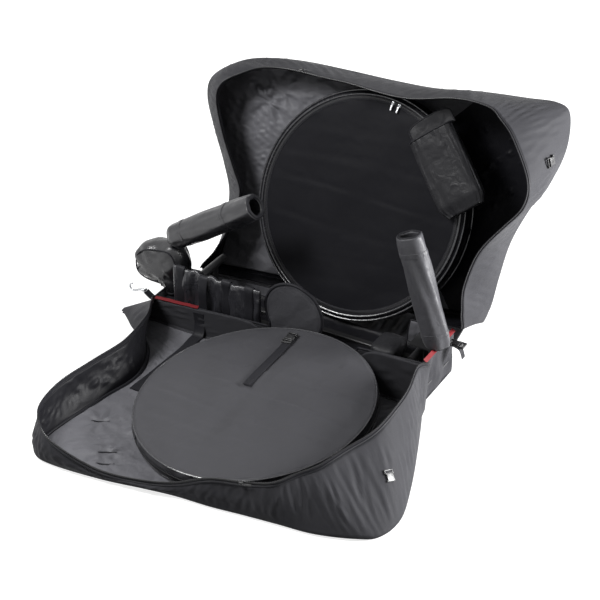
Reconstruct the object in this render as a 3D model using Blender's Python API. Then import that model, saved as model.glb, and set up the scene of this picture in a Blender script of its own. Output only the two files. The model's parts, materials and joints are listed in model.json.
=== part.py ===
"""Soft bike travel bag, open: one half lies on the floor, the other stands and leans back.

+X runs along the base to its nose end, -Y to the half on the floor, +Z up.
A half is drawn as it stands when the bag is shut: s along its seam, h up, o outward
from the seam's plane. Its empty turns it into its open position.
"""

import math

import bmesh
import bpy
from mathutils import Matrix, Vector

# Base
BASE_LENGTH = 0.930
BASE_HALF_WIDTH = 0.1025
BASE_WALL = 0.004
SKIRT_CLEARANCE = 0.012
WEB_UNDERSIDE = 0.046
WEB_THICKNESS = 0.004
BOARD_THICKNESS = 0.006
SEAT_GAP = 0.0003
SEAM_DROP = 0.0015
SEAM_CORD_RADIUS = 0.003

# Halves
HINGE_HALF_WIDTH = 0.100
SEAM_HEIGHT_REAR = 0.083
NOSE_FLARE = 0.0773
TOP_TAPER = 0.0893
FAR_OPEN_ANGLE = math.radians(25.0)
HALF_LENGTH = 1.100
WHEEL_BAG_RADIUS = 0.345
HALF_HEADROOM = 0.010
HALF_HEIGHT = 2 * WHEEL_BAG_RADIUS + HALF_HEADROOM
SHELL_WALL = 0.004
SHELL_CORNER = 0.012
HINGE_CLEARANCE = 0.0033
WALL_BULGE = 0.006
PAD_THICKNESS = 0.004
PAD_INSET = 0.022
TAPE_HEIGHT = 0.009
TAPE_THICKNESS = 0.003
OUTLINE_STEPS = 3

# Wheel bags
WHEEL_BAG_WALL = 0.004
WHEEL_BAG_EDGE = 0.010
WHEEL_BAG_SIDES = 48
NEAR_BAG_DROP = 0.020
FAR_POCKET_DROP = 0.043
NEAR_BAG_PLACE = (0.567, WHEEL_BAG_RADIUS - NEAR_BAG_DROP)
NEAR_BAG_FACE = -0.0025
FAR_POCKET_PLACE = (0.566, WHEEL_BAG_RADIUS - FAR_POCKET_DROP)
FAR_POCKET_FACE = -0.010
HUB_PAD_RADII = (0.062, 0.050)
ZIP_BAND_WIDTH = 0.012
ZIP_BAND_THICKNESS = 0.003
PIPING_RADIUS = 0.003
NEAR_SLIDER_ANGLE = math.radians(200.0)
FAR_SLIDER_ANGLES = (math.radians(79.0), math.radians(75.0))
RING_SLIDER_SIZE = (0.010, 0.006, 0.005)
RING_PULL_LENGTH = 0.016

# Castors
CASTOR_INSET = 0.090
CASTOR_X = (CASTOR_INSET, BASE_LENGTH - CASTOR_INSET)
CASTOR_Y = 0.070
CASTOR_PLATE_SIDE = 0.044
CASTOR_PLATE_THICKNESS = 0.003
CASTOR_WHEEL_RADIUS = 0.016
CASTOR_WHEEL_WIDTH = 0.014
CASTOR_TRAIL = 0.010
CASTOR_CROWN_RADIUS = 0.012
CASTOR_CROWN_THICKNESS = 0.004
CASTOR_LEG_THICKNESS = 0.0025
CASTOR_LEG_WIDTH = 0.008
CASTOR_SIDE_GAP = 0.0006
CASTOR_AXLE_RADIUS = 0.002
CASTOR_BORE_GAP = 0.0004

# Frame in the base
RAIL_OFFSET = 0.030
RAIL_WIDTH = 0.020
RAIL_HEIGHT = 0.012
RAIL_INSETS = (0.080, 0.020)
RAIL_X = (RAIL_INSETS[0], BASE_LENGTH - RAIL_INSETS[1])
STAND_PLATE_THICKNESS = 0.004
STAND_PLATE_HALF_WIDTH = 0.042
POST_THICKNESS = 0.020
POST_HALF_WIDTH = 0.014
HUB_RADIUS = 0.012
AXLE_RADIUS = 0.0025
AXLE_BORE_GAP = 0.0004
REAR_STAND_X = 0.160
REAR_STAND_LENGTH = 0.060
REAR_HUB_HEIGHT = 0.190
REAR_HUB_HALF_LENGTH = 0.062
FRONT_STAND_INSET = 0.065
FRONT_STAND_X = BASE_LENGTH - FRONT_STAND_INSET
FRONT_STAND_LENGTH = 0.080
FRONT_HUB_HEIGHT = 0.112
FRONT_HUB_HALF_LENGTH = 0.050
LEVER_THICKNESS = 0.007
LEVER_WIDTH = 0.012
LEVER_LENGTH = 0.036
SLEEVE_SEAT_INSETS = (0.080, 0.008)
SLEEVE_SEAT_X = (BASE_LENGTH - SLEEVE_SEAT_INSETS[0], BASE_LENGTH - SLEEVE_SEAT_INSETS[1])
SLEEVE_SEAT_HEIGHT = 0.158

# Padded covers carried on the base
SLEEVE_INSET = 0.002
SLEEVE_LEAN = 0.106
SLEEVE_RISE = 0.3337
SLEEVE_BOTTOM = (BASE_LENGTH - SLEEVE_INSET, SLEEVE_SEAT_HEIGHT + SEAT_GAP)
SLEEVE_TOP = (SLEEVE_BOTTOM[0] - SLEEVE_LEAN, SLEEVE_BOTTOM[1] + SLEEVE_RISE)
SLEEVE_Y = -0.006
SLEEVE_RADII = (0.042, 0.034)
SLEEVE_WALL = 0.010
FOOT_PAD_INSETS = (0.205, 0.118)
FOOT_PAD_X = (BASE_LENGTH - FOOT_PAD_INSETS[0], BASE_LENGTH - FOOT_PAD_INSETS[1])
FOOT_PAD_HALF_WIDTH = 0.052
FOOT_PAD_HEIGHT = 0.052
REAR_PAD_X = (-0.120, 0.066)
REAR_PAD_HALF_WIDTH = 0.048
REAR_PAD_TOP = 0.232
STAY_SLEEVE_ROUTE = ((0.0235, 0.2548), (0.120, 0.315), (0.225, 0.382), (0.316, 0.440))
STAY_SLEEVE_RADIUS = 0.036
SKIRT_X = (0.070, 0.380)
SKIRT_Y = -0.0800
SKIRT_THICKNESS = 0.016
SKIRT_TOP = 0.212
SKIRT_SWELL = 0.006
GUARD_X = 0.485
GUARD_Y = -0.066
GUARD_RADIUS = 0.098
GUARD_CENTRE_HEIGHT = 0.160
GUARD_THICKNESS = 0.010

# Trim, straps and buckles
RED_TAPE_WIDTH = 0.012
RED_TAPE_THICKNESS = 0.0015
RED_TAPE_REAR_X = (0.012, 0.170)
STRAP_THICKNESS = 0.0022
WHEEL_STRAP_WIDTH = 0.025
WHEEL_STRAP_S = 0.520
WHEEL_STRAP_H = (0.020, 0.285)
WIDE_STRAP_WIDTH = 0.038
WIDE_STRAP_S = 0.174
WIDE_STRAP_START_OUT = 0.010
WIDE_STRAP_END_H = 0.360
BUCKLE_SIZE = (0.034, 0.030, 0.009)
BUCKLE_TONGUE_LENGTH = 0.016
BUCKLE_WALL = 0.002
TONGUE_GAP = 0.0005
BUCKLE_LIFT = 0.0010
NEAR_SLIDER_ROW = 13
FAR_SLIDER_ROW = 10
NEAR_CLOSURE_ROW = 18
FAR_CLOSURE_ROW = 18
RING_TAB_WIDTH = 0.024
RING_TAB_Y = -0.086
RING_TAB_HEIGHT = 0.070
RING_TAB_LENGTH = 0.034
HOOK_LENGTH = 0.056
HOOK_WIRE_RADIUS = 0.0035
SLIDER_SIZE = (0.020, 0.005, 0.010)
SLIDER_PULL_LENGTH = 0.024

# Organiser pocket in the far half
ORGANISER_PLACE = (0.850, 0.450)
ORGANISER_SIZE = (0.150, 0.250, 0.050)
ORGANISER_LEAN = math.radians(36.0)
ORGANISER_WALL = 0.003
FLAP_LENGTH = 0.050
FLAP_THICKNESS = 0.003

# Shares of the sizes above that shape small details
PAST_SHARE = 10
NEAR_NOTCH_SHARE = 0.42
FAR_NOTCH_SHARE = 0.62
LEVER_ARM_DEPTH_SHARE = 0.9
RISER_SHARE = 1.8
SEAT_WIDTH_SHARE = 0.9
SLEEVE_STATION_SHARES = (0, 0.06, 0.35, 0.65, 0.94, 1)
SLEEVE_SWELL_SHARES = (0.84, 1.0, 0.98, 1.0, 0.99, 0.90)
FOOT_PAD_EDGE_SHARE = 0.2
REAR_PAD_FRONT_SHARES = ((0.75, 0), (1, 0.25), (1, 0.7))
REAR_PAD_TOP_SHARES = ((0.6, 0.99), (-0.2, 1.0))
REAR_PAD_BACK_SHARES = ((0.65, 0.93), (0.93, 0.80), (1, 0.62), (0.92, 0.47))
REAR_PAD_LEDGE_SHARES = ((0.60, 1.04), (0.12, 1.0))
REAR_PAD_END_SHARES = ((-1.0, 0.90), (-0.80, 1.0), (0.80, 1.0), (1.0, 0.90))
STAY_SLEEVE_SWELL_SHARES = (0.80, 1.0, 0.96, 0.92)
CASTOR_CROWN_SHARE = 0.8
CASTOR_TREAD_SHARE = 0.6
CASTOR_SHOULDER_SHARE = 0.85
CAP_EDGE_SHARE = 0.3
PULL_SHARES = (0.2, 0.3, 0.35, 0.4, 0.7, 0.8)
BUCKLE_CAVE_SHARE = 0.35
RING_TAB_ROUTE_SHARES = ((0.2, 1.0), (0.6, 1.1), (1.0, 1.25))
HOOK_EYE_SHARE = 0.7
HOOK_LOOP_SHARES = (0.24, 0.9, 0.40)
HOOK_LOOP_START = -200
HOOK_LOOP_STEP = 20
TAIL_SHARES = (0.5, 0.6, 0.9)
TAIL_WIDTH_SHARE = 0.8
BUCKLE_INSET_SHARE = 1.2

# Outline rows of the halves as shares: the outer panel's s and h and the rim's s and h,
# of HALF_LENGTH and HALF_HEIGHT, then the rim's o, of HINGE_HALF_WIDTH. They start at the
# rear end of the seam, go over the top and the nose, and come back along the seam.
NEAR_OUTLINE_SHARES = (
    (-0.095, 0.000, 0.020, 0.000, 0.006),
    (-0.050, 0.100, 0.043, 0.100, -0.300),
    (0.060, 0.230, 0.077, 0.215, -0.380),
    (0.113, 0.415, 0.091, 0.393, -0.420),
    (0.095, 0.615, 0.068, 0.572, -0.500),
    (0.073, 0.830, 0.053, 0.757, -0.600),
    (0.071, 0.986, 0.070, 0.930, -0.680),
    (0.100, 1.064, 0.113, 1.022, -0.680),
    (0.164, 1.081, 0.173, 1.070, -0.450),
    (0.300, 1.060, 0.291, 1.062, 0.110),
    (0.409, 1.026, 0.405, 1.030, 0.260),
    (0.491, 1.004, 0.495, 0.994, 0.230),
    (0.582, 0.992, 0.582, 0.970, -0.100),
    (0.668, 0.972, 0.668, 0.944, -0.140),
    (0.755, 0.954, 0.741, 0.910, -0.200),
    (0.845, 0.936, 0.786, 0.846, -0.320),
    (0.936, 0.886, 0.823, 0.779, -0.360),
    (0.986, 0.829, 0.855, 0.664, -0.410),
    (1.000, 0.700, 0.891, 0.529, -0.450),
    (0.964, 0.500, 0.897, 0.386, -0.480),
    (0.909, 0.271, 0.895, 0.257, -0.500),
    (0.864, 0.100, 0.871, 0.114, -0.420),
    (0.832, 0.000, 0.859, 0.000, 0.006),
    (0.700, 0.000, 0.700, 0.000, 0.006),
    (0.630, 0.000, 0.630, 0.000, 0.540),
    (0.510, 0.000, 0.510, 0.000, 0.540),
    (0.395, 0.000, 0.395, 0.000, 0.540),
    (0.325, 0.000, 0.325, 0.000, 0.006),
    (0.150, 0.000, 0.150, 0.000, 0.006),
)
FAR_OUTLINE_SHARES = (
    (0.036, 0.000, 0.055, 0.000, 0.006),
    (0.050, 0.100, 0.100, 0.114, -0.300),
    (0.064, 0.229, 0.145, 0.257, -0.420),
    (0.068, 0.371, 0.164, 0.386, -0.470),
    (0.041, 0.500, 0.135, 0.493, -0.600),
    (0.000, 0.643, 0.095, 0.650, -0.880),
    (-0.032, 0.779, 0.066, 0.779, -0.880),
    (-0.023, 0.871, 0.082, 0.864, -0.850),
    (0.045, 0.946, 0.145, 0.926, -0.800),
    (0.127, 0.986, 0.214, 0.946, -0.780),
    (0.255, 1.000, 0.314, 0.957, -0.780),
    (0.400, 0.990, 0.432, 0.941, -0.780),
    (0.527, 0.977, 0.545, 0.919, -0.800),
    (0.655, 0.971, 0.655, 0.917, -0.850),
    (0.782, 0.986, 0.782, 0.941, -0.880),
    (0.909, 0.989, 0.877, 0.931, -0.880),
    (0.991, 0.989, 0.914, 0.886, -0.880),
    (1.027, 0.950, 0.959, 0.809, -0.880),
    (1.032, 0.814, 1.014, 0.671, -0.880),
    (1.005, 0.671, 1.011, 0.571, -0.880),
    (0.955, 0.529, 0.968, 0.464, -0.880),
    (0.918, 0.386, 0.909, 0.336, -0.800),
    (0.900, 0.229, 0.880, 0.200, -0.600),
    (0.886, 0.086, 0.880, 0.086, -0.450),
    (0.855, 0.000, 0.864, 0.000, 0.006),
    (0.760, 0.000, 0.760, 0.000, 0.006),
    (0.705, 0.000, 0.705, 0.000, 0.560),
    (0.515, 0.000, 0.515, 0.000, 0.560),
    (0.325, 0.000, 0.325, 0.000, 0.560),
    (0.270, 0.000, 0.270, 0.000, 0.006),
)
NEAR_SEAM_ROW = 22
FAR_SEAM_ROW = 24

SEAM_SLOPE = math.atan(NOSE_FLARE / math.sqrt(1.0 + TOP_TAPER**2))
NEAR_OPEN_ANGLE = math.radians(90.0) + math.atan(TOP_TAPER)
PANEL_OUT = SEAM_HEIGHT_REAR / math.sin(NEAR_OPEN_ANGLE)
BOARD_TOP = WEB_UNDERSIDE + WEB_THICKNESS + SEAT_GAP + BOARD_THICKNESS
RAIL_TOP = BOARD_TOP + SEAT_GAP + RAIL_HEIGHT
NEAR, FAR = -1, 1


def seam_height(x):
    return SEAM_HEIGHT_REAR + x * math.tan(SEAM_SLOPE)


def panel_out(s, h):
    """How far out the panel's outer face lies."""
    return PANEL_OUT + NOSE_FLARE * s - TOP_TAPER * h


def pad_face(s, h):
    """How far out the side pad's inner face lies."""
    return panel_out(s, h) - SHELL_WALL - SEAT_GAP - PAD_THICKNESS


def seated_depth(place, face_out):
    """How thick a round bag is that touches the side pad where the pad is nearest."""
    nearest = pad_face(*place) - WHEEL_BAG_RADIUS * math.hypot(NOSE_FLARE, TOP_TAPER)
    return nearest - SEAT_GAP - face_out


NEAR_BAG_DEPTH = seated_depth(NEAR_BAG_PLACE, NEAR_BAG_FACE)
FAR_POCKET_DEPTH = seated_depth(FAR_POCKET_PLACE, FAR_POCKET_FACE)


def clear_scene():
    for thing in list(bpy.data.objects):
        bpy.data.objects.remove(thing, do_unlink=True)


def make_material(name, colour, roughness, metallic=0.0):
    material = bpy.data.materials.new(name)
    material.use_nodes = True
    shader = material.node_tree.nodes["Principled BSDF"]
    shader.inputs["Base Color"].default_value = (*colour, 1.0)
    shader.inputs["Roughness"].default_value = roughness
    shader.inputs["Metallic"].default_value = metallic
    material.diffuse_color = (*colour, 1.0)
    return material


def make_materials():
    return {
        "nylon": make_material("nylon", (0.028, 0.028, 0.032), 0.55),
        "lining": make_material("lining", (0.060, 0.060, 0.066), 0.45),
        "padding": make_material("padding", (0.075, 0.075, 0.082), 0.60),
        "webbing": make_material("webbing", (0.012, 0.012, 0.013), 0.70),
        "red_tape": make_material("red_tape", (0.450, 0.010, 0.020), 0.50),
        "board": make_material("board", (0.030, 0.030, 0.032), 0.70),
        "buckle": make_material("buckle", (0.010, 0.010, 0.011), 0.35),
        "aluminium": make_material("aluminium", (0.550, 0.560, 0.580), 0.35, 1.0),
        "steel": make_material("steel", (0.560, 0.570, 0.590), 0.30, 1.0),
        "rubber": make_material("rubber", (0.015, 0.015, 0.016), 0.80),
    }


def make_empty(name, parent=None, matrix=Matrix.Identity(4)):
    empty = bpy.data.objects.new(name, None)
    bpy.context.scene.collection.objects.link(empty)
    empty.parent = parent
    empty.matrix_local = matrix
    return empty


def make_object(name, mesh, material, parent, matrix=Matrix.Identity(4), angle=35.0):
    if material is not None:
        mesh.materials.clear()
        mesh.materials.append(material)
    mesh.shade_smooth()
    mesh.set_sharp_from_angle(angle=math.radians(angle))
    thing = bpy.data.objects.new(name, mesh)
    bpy.context.scene.collection.objects.link(thing)
    thing.parent = parent
    thing.matrix_local = matrix
    return thing


def mesh_from(name, points, faces):
    """A closed mesh with its faces turned outward."""
    mesh = bpy.data.meshes.new(name)
    mesh.from_pydata([tuple(point) for point in points], [], faces)
    shape = bmesh.new()
    shape.from_mesh(mesh)
    bmesh.ops.recalc_face_normals(shape, faces=shape.faces)
    shape.to_mesh(mesh)
    shape.free()
    return mesh


def box_mesh(name, low, high):
    corners = [(x, y, z) for x in (low[0], high[0]) for y in (low[1], high[1]) for z in (low[2], high[2])]
    faces = [(0, 1, 3, 2), (4, 6, 7, 5), (0, 4, 5, 1), (2, 3, 7, 6), (0, 2, 6, 4), (1, 5, 7, 3)]
    return mesh_from(name, corners, faces)


def bevelled(thing, width, segments=1):
    modifier = thing.modifiers.new("edges", "BEVEL")
    modifier.width = width
    modifier.segments = segments
    modifier.limit_method = "ANGLE"
    return thing


def add_box(name, low, high, material, parent, bevel=0.0):
    thing = make_object(name, box_mesh(name, low, high), material, parent)
    return bevelled(thing, bevel) if bevel else thing


def prism_mesh(name, outline, low, high, axis):
    """An outline of two coordinates, extruded along the third axis from low to high."""
    def placed(point, level):
        values = list(point)
        values.insert(axis, level)
        return values
    count = len(outline)
    points = [placed(p, low) for p in outline] + [placed(p, high) for p in outline]
    faces = [tuple(range(count)), tuple(range(count, 2 * count))]
    for i in range(count):
        j = (i + 1) % count
        faces.append((i, j, count + j, count + i))
    return mesh_from(name, points, faces)


def lathe_mesh(name, profile, sides, start=0.0):
    """A closed profile of (radius, height) turned about Z. A radius of zero is one point."""
    points, rings = [], []
    for radius, height in profile:
        if radius == 0:
            rings.append([len(points)] * sides)
            points.append((0, 0, height))
            continue
        rings.append([len(points) + k for k in range(sides)])
        for k in range(sides):
            turn = start + 2 * math.pi * k / sides
            points.append((radius * math.cos(turn), radius * math.sin(turn), height))
    faces = []
    closed = all(radius > 0 for radius, _ in profile)
    count = len(rings)
    for i in range(count if closed else count - 1):
        a, b = rings[i], rings[(i + 1) % count]
        for k in range(sides):
            m = (k + 1) % sides
            corners = []
            for index in (a[k], a[m], b[m], b[k]):
                if index not in corners:
                    corners.append(index)
            if len(corners) > 2:
                faces.append(tuple(corners))
    return mesh_from(name, points, faces)


def sweep_mesh(name, sections, closed=False):
    """Joins rings of points into a tube, with capped ends unless it closes on itself."""
    size = len(sections[0])
    points = [point for ring in sections for point in ring]
    faces = []
    steps = len(sections) if closed else len(sections) - 1
    for i in range(steps):
        j = (i + 1) % len(sections)
        for k in range(size):
            m = (k + 1) % size
            faces.append((i * size + k, i * size + m, j * size + m, j * size + k))
    if not closed:
        faces.append(tuple(range(size)))
        faces.append(tuple((len(sections) - 1) * size + k for k in range(size)))
    return mesh_from(name, points, faces)


def ribbon_mesh(name, route, across, width, thickness):
    """A flat strap along a route, with its width along across."""
    across = Vector(across).normalized()
    route = [Vector(point) for point in route]
    sections = []
    for i, point in enumerate(route):
        ahead = route[min(i + 1, len(route) - 1)] - route[max(i - 1, 0)]
        up = across.cross(ahead).normalized() * thickness / 2
        side = across * width / 2
        sections.append([point - side - up, point + side - up, point + side + up, point - side + up])
    return sweep_mesh(name, sections)


def smooth_rows(rows, steps):
    """A closed curve through the rows, each row a tuple of any length."""
    count, smooth = len(rows), []
    for i in range(count):
        a, b, c, d = (rows[(i + k) % count] for k in (-1, 0, 1, 2))
        for step in range(steps):
            t = step / steps
            smooth.append(tuple(
                (2 * q + (r - p) * t + (2 * p - 5 * q + 4 * r - w) * t**2
                 + (3 * q - p - 3 * r + w) * t**3) / 2
                for p, q, r, w in zip(a, b, c, d)
            ))
    return smooth


def inward_shift(ring, distance):
    """Moves each point of a closed ring of (s, h) inward, square to the ring."""
    count = len(ring)
    pairs = [(ring[i], ring[(i + 1) % count]) for i in range(count)]
    area = sum(a[0] * b[1] - b[0] * a[1] for a, b in pairs)
    turn = 1 if area > 0 else -1
    moved = []
    for i in range(count):
        ahead = Vector(ring[(i + 1) % count]) - Vector(ring[i - 1])
        ahead.normalize()
        moved.append((ring[i][0] - turn * ahead.y * distance, ring[i][1] + turn * ahead.x * distance))
    return moved


def half_outline(shares):
    """The smooth outline of a half, in metres: panel s and h, rim s and h, rim o."""
    rows = []
    for ps, ph, rs, rh, ro in smooth_rows(shares, OUTLINE_STEPS):
        rim_out = max(ro * HINGE_HALF_WIDTH, -HINGE_HALF_WIDTH)
        panel_s, rim_s = ps * HALF_LENGTH, rs * HALF_LENGTH
        floor = HINGE_CLEARANCE + TOP_TAPER * panel_out(panel_s, 0)
        panel_h = max(ph * HALF_HEIGHT, floor)
        rim_h = max(rh * HALF_HEIGHT, HINGE_CLEARANCE + TOP_TAPER * max(rim_out, 0))
        rows.append((panel_s, panel_h, rim_s, rim_h, rim_out))
    return rows


def wall_rings(rows):
    """The outer rings of a half, from its panel to its rim, as points of s, h and o."""
    panel = [(row[0], row[1]) for row in rows]
    foot = inward_shift(panel, SHELL_CORNER)
    rings = [[(s, h, panel_out(s, h)) for s, h in foot], []]
    middle = []
    for (ps, ph, rs, rh, ro) in rows:
        out = max(panel_out(ps, ph) - SHELL_CORNER, ro + SHELL_CORNER)
        rings[1].append((ps, ph, out))
        bulge = WALL_BULGE if ph > SHELL_CORNER * 2 else 0
        middle.append(((ps + rs) / 2, (ph + rh) / 2 + bulge, (out + ro) / 2))
    rings.append(middle)
    rings.append([(row[2], row[3], row[4]) for row in rows])
    return rings


def shell_mesh(name, side, rows):
    """A fabric tray: outer rings, the same rings moved inward, and the rim between them."""
    outer = wall_rings(rows)
    inner = []
    for index, ring in enumerate(outer):
        moved = inward_shift([(s, h) for s, h, _ in ring], SHELL_WALL)
        if index == 0:
            inner.append([(s, h, panel_out(s, h) - SHELL_WALL) for s, h in moved])
        else:
            inner.append([(s, h, o) for (s, h), (_, _, o) in zip(moved, ring)])
    rings = outer + inner[::-1]
    count = len(rows)
    points = [(s, side * o, h) for ring in rings for s, h, o in ring]
    faces = []
    for i in range(len(rings) - 1):
        for k in range(count):
            m = (k + 1) % count
            faces.append((i * count + k, i * count + m, (i + 1) * count + m, (i + 1) * count + k))
    faces.append(tuple(range(count)))
    faces.append(tuple((len(rings) - 1) * count + k for k in range(count)))
    return mesh_from(name, points, faces)


def pad_mesh(name, side, rows):
    """A side pad that lies on the panel's inner face."""
    points = []
    for depth in (SHELL_WALL + SEAT_GAP, SHELL_WALL + SEAT_GAP + PAD_THICKNESS):
        for s, h in inward_shift([(row[0], row[1]) for row in rows], PAD_INSET):
            points.append((s, side * (panel_out(s, h) - depth), h))
    count = len(rows)
    faces = [tuple(range(count)), tuple(range(count, 2 * count))]
    for k in range(count):
        m = (k + 1) % count
        faces.append((k, m, count + m, count + k))
    return mesh_from(name, points, faces)


def tape_mesh(name, side, rows, seam_row):
    """The zip tape that carries on the wall past its rim, from one end of the seam to the other."""
    rim = [(row[2], row[3]) for row in rows]
    inner = inward_shift(rim, TAPE_THICKNESS)
    sections = []
    for k in range(1, seam_row * OUTLINE_STEPS):
        out = rows[k][4] - 2 * SEAT_GAP
        (s, h), (t, g) = rim[k], inner[k]
        sections.append([
            (s, side * out, h), (s, side * (out - TAPE_HEIGHT), h),
            (t, side * (out - TAPE_HEIGHT), g), (t, side * out, g),
        ])
    return sweep_mesh(name, sections)


def half_matrix(side):
    """Where a half's seam starts and how the half stands when it is open."""
    opened = NEAR_OPEN_ANGLE if side == NEAR else FAR_OPEN_ANGLE
    place = Matrix.Translation((0, side * HINGE_HALF_WIDTH, SEAM_HEIGHT_REAR))
    slope = Matrix.Rotation(-SEAM_SLOPE, 4, "Y")
    swing = Matrix.Rotation(-side * opened, 4, "X")
    return place @ slope @ swing


def facing(side, s, h, o):
    """A place in a half with its Z outward from the bag's middle."""
    return Matrix.Translation((s, side * o, h)) @ Matrix.Rotation(-side * math.pi / 2, 4, "X")


def build_base(root, paint):
    nose = BASE_LENGTH
    top = [(0, seam_height(0) - SEAM_DROP), (nose, seam_height(nose) - SEAM_DROP)]
    outline = [(0, SKIRT_CLEARANCE), (nose, SKIRT_CLEARANCE), top[1], top[0]]
    pan = make_object(
        "base_pan", prism_mesh("base_pan", outline, -BASE_HALF_WIDTH, BASE_HALF_WIDTH, 1),
        paint["nylon"], root
    )
    for side in (NEAR, FAR):
        ends = [
            rounded_section(
                (x, side * HINGE_HALF_WIDTH, seam_height(x)), Vector((0, 1, 0)), Vector((0, 0, 1)),
                SEAM_CORD_RADIUS, SEAM_CORD_RADIUS, 12,
            )
            for x in (0, nose)
        ]
        joined(pan, sweep_mesh(f"pan_cord_{side}", ends), f"pan_cord_{side}", root)
    inner, past = BASE_HALF_WIDTH - BASE_WALL, BASE_WALL * PAST_SHARE
    hollow_top = seam_height(nose) + past
    floor = WEB_UNDERSIDE + WEB_THICKNESS
    near_reach, far_reach = (share * WHEEL_BAG_RADIUS for share in (NEAR_NOTCH_SHARE, FAR_NOTCH_SHARE))
    notch_near = (NEAR_BAG_PLACE[0] - near_reach, NEAR_BAG_PLACE[0] + near_reach)
    notch_far = (FAR_POCKET_PLACE[0] - far_reach, FAR_POCKET_PLACE[0] + far_reach)
    near_top = BOARD_TOP + BASE_WALL * 2
    far_top = BOARD_TOP
    cutters = {
        "pan_hollow_cutter": ((BASE_WALL, -inner, floor), (nose - BASE_WALL, inner, hollow_top)),
        "pan_well_cutter": ((BASE_WALL, -inner, -past), (nose - BASE_WALL, inner, WEB_UNDERSIDE)),
        "pan_near_notch_cutter": ((notch_near[0], -inner - past, near_top),
        (notch_near[1], -inner + SEAT_GAP, hollow_top)),
        "pan_far_notch_cutter": ((notch_far[0], inner - SEAT_GAP, far_top),
        (notch_far[1], inner + past, hollow_top)),
    }
    for name, (low, high) in cutters.items():
        cutter = make_object(name, box_mesh(name, low, high), None, root)
        cutter.hide_render = True
        cutter.display_type = "WIRE"
        cut = pan.modifiers.new(name, "BOOLEAN")
        cut.operation = "DIFFERENCE"
        cut.object = cutter
    board_low = WEB_UNDERSIDE + WEB_THICKNESS + SEAT_GAP
    edge = inner - SEAT_GAP
    add_box(
        "base_board", (BASE_WALL + SEAT_GAP, -edge, board_low),
        (nose - BASE_WALL - SEAT_GAP, edge, BOARD_TOP),
        paint["board"], root,
    )
    for name, side in (("frame_rail_near", NEAR), ("frame_rail_far", FAR)):
        middle = side * RAIL_OFFSET
        add_box(
            name, (RAIL_X[0], middle - RAIL_WIDTH / 2, BOARD_TOP + SEAT_GAP),
            (RAIL_X[1], middle + RAIL_WIDTH / 2, RAIL_TOP), paint["steel"], root, bevel=RAIL_HEIGHT / 8,
        )
    build_red_tapes(root, paint)


def build_red_tapes(root, paint):
    """Edge tapes on the inner face of the near wall at the rear, and of the nose wall."""
    face = -BASE_HALF_WIDTH + BASE_WALL + SEAT_GAP
    low, high = RED_TAPE_REAR_X
    tops = [seam_height(x) - SEAM_DROP for x in (low, high)]
    outline = [(low, tops[0] - RED_TAPE_WIDTH), (high, tops[1] - RED_TAPE_WIDTH), (high, tops[1]),
        (low, tops[0])]
    mesh = prism_mesh("rear_red_tape", outline, face, face + RED_TAPE_THICKNESS, 1)
    make_object("rear_red_tape", mesh, paint["red_tape"], root)
    inner = BASE_LENGTH - BASE_WALL - SEAT_GAP
    top = seam_height(inner - RED_TAPE_THICKNESS) - SEAM_DROP
    reach = BASE_HALF_WIDTH - 2 * BASE_WALL
    add_box(
        "nose_red_tape", (inner - RED_TAPE_THICKNESS, -reach, top - RED_TAPE_WIDTH), (inner, reach, top),
        paint["red_tape"], root,
    )


def bored(thing, cutter_mesh, name, parent, matrix=Matrix.Identity(4)):
    cutter = make_object(name, cutter_mesh, None, parent, matrix)
    cutter.hide_render = True
    cutter.display_type = "WIRE"
    cut = thing.modifiers.new(name, "BOOLEAN")
    cut.operation = "DIFFERENCE"
    cut.object = cutter
    return thing


def joined(thing, other_mesh, name, parent, matrix=Matrix.Identity(4)):
    other = make_object(name, other_mesh, None, parent, matrix)
    other.hide_render = True
    other.display_type = "WIRE"
    join = thing.modifiers.new(name, "BOOLEAN")
    join.operation = "UNION"
    join.object = other
    return thing


def along_y(x, y, z):
    """A place whose Z runs along the bag's Y."""
    return Matrix.Translation((x, y, z)) @ Matrix.Rotation(-math.pi / 2, 4, "X")


def rod_mesh(name, radius, length, sides):
    return lathe_mesh(name, [(0, 0), (radius, 0), (radius, length), (0, length)], sides)


def build_stand(name, x, length, hub_height, hub_half, parent, material):
    """A plate across the rails, a post and a cross tube that is bored for its axle."""
    low = RAIL_TOP + SEAT_GAP
    plate = add_box(
        name, (x - length / 2, -STAND_PLATE_HALF_WIDTH, low),
        (x + length / 2, STAND_PLATE_HALF_WIDTH, low + STAND_PLATE_THICKNESS), material, parent,
    )
    middle = low + STAND_PLATE_THICKNESS / 2
    post = box_mesh(
        name + "_post", (x - POST_THICKNESS / 2, -POST_HALF_WIDTH, middle),
        (x + POST_THICKNESS / 2, POST_HALF_WIDTH, hub_height)
    )
    joined(plate, post, name + "_post", parent)
    tube = rod_mesh(name + "_hub", HUB_RADIUS, 2 * hub_half, 16)
    joined(plate, tube, name + "_hub", parent, along_y(x, -hub_half, hub_height))
    bore = rod_mesh(name + "_bore_cutter", AXLE_RADIUS + AXLE_BORE_GAP, 4 * hub_half, 12)
    bored(plate, bore, name + "_bore_cutter", parent, along_y(x, -2 * hub_half, hub_height))
    return plate


def build_lever(name, x, y, z, side, paint, parent, turn):
    """A threaded axle's lever: a round boss on the axle's end and a flat arm."""
    pivot = make_empty(name + "_pivot", parent,
        Matrix.Translation((x, y, z)) @ Matrix.Rotation(turn, 4, "Y"))
    depth = side * LEVER_THICKNESS
    boss = rod_mesh(name, LEVER_WIDTH / 2, LEVER_THICKNESS, 16)
    lever = make_object(name, boss, paint["buckle"], pivot, Matrix.Rotation(-side * math.pi / 2, 4, "X"))
    low, high = sorted((side * LEVER_THICKNESS / 4, depth * LEVER_ARM_DEPTH_SHARE))
    arm = box_mesh(name + "_arm", (0, low, -LEVER_WIDTH / 3), (LEVER_LENGTH, high, LEVER_WIDTH / 3))
    joined(lever, arm, name + "_arm", pivot)
    return lever


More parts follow.
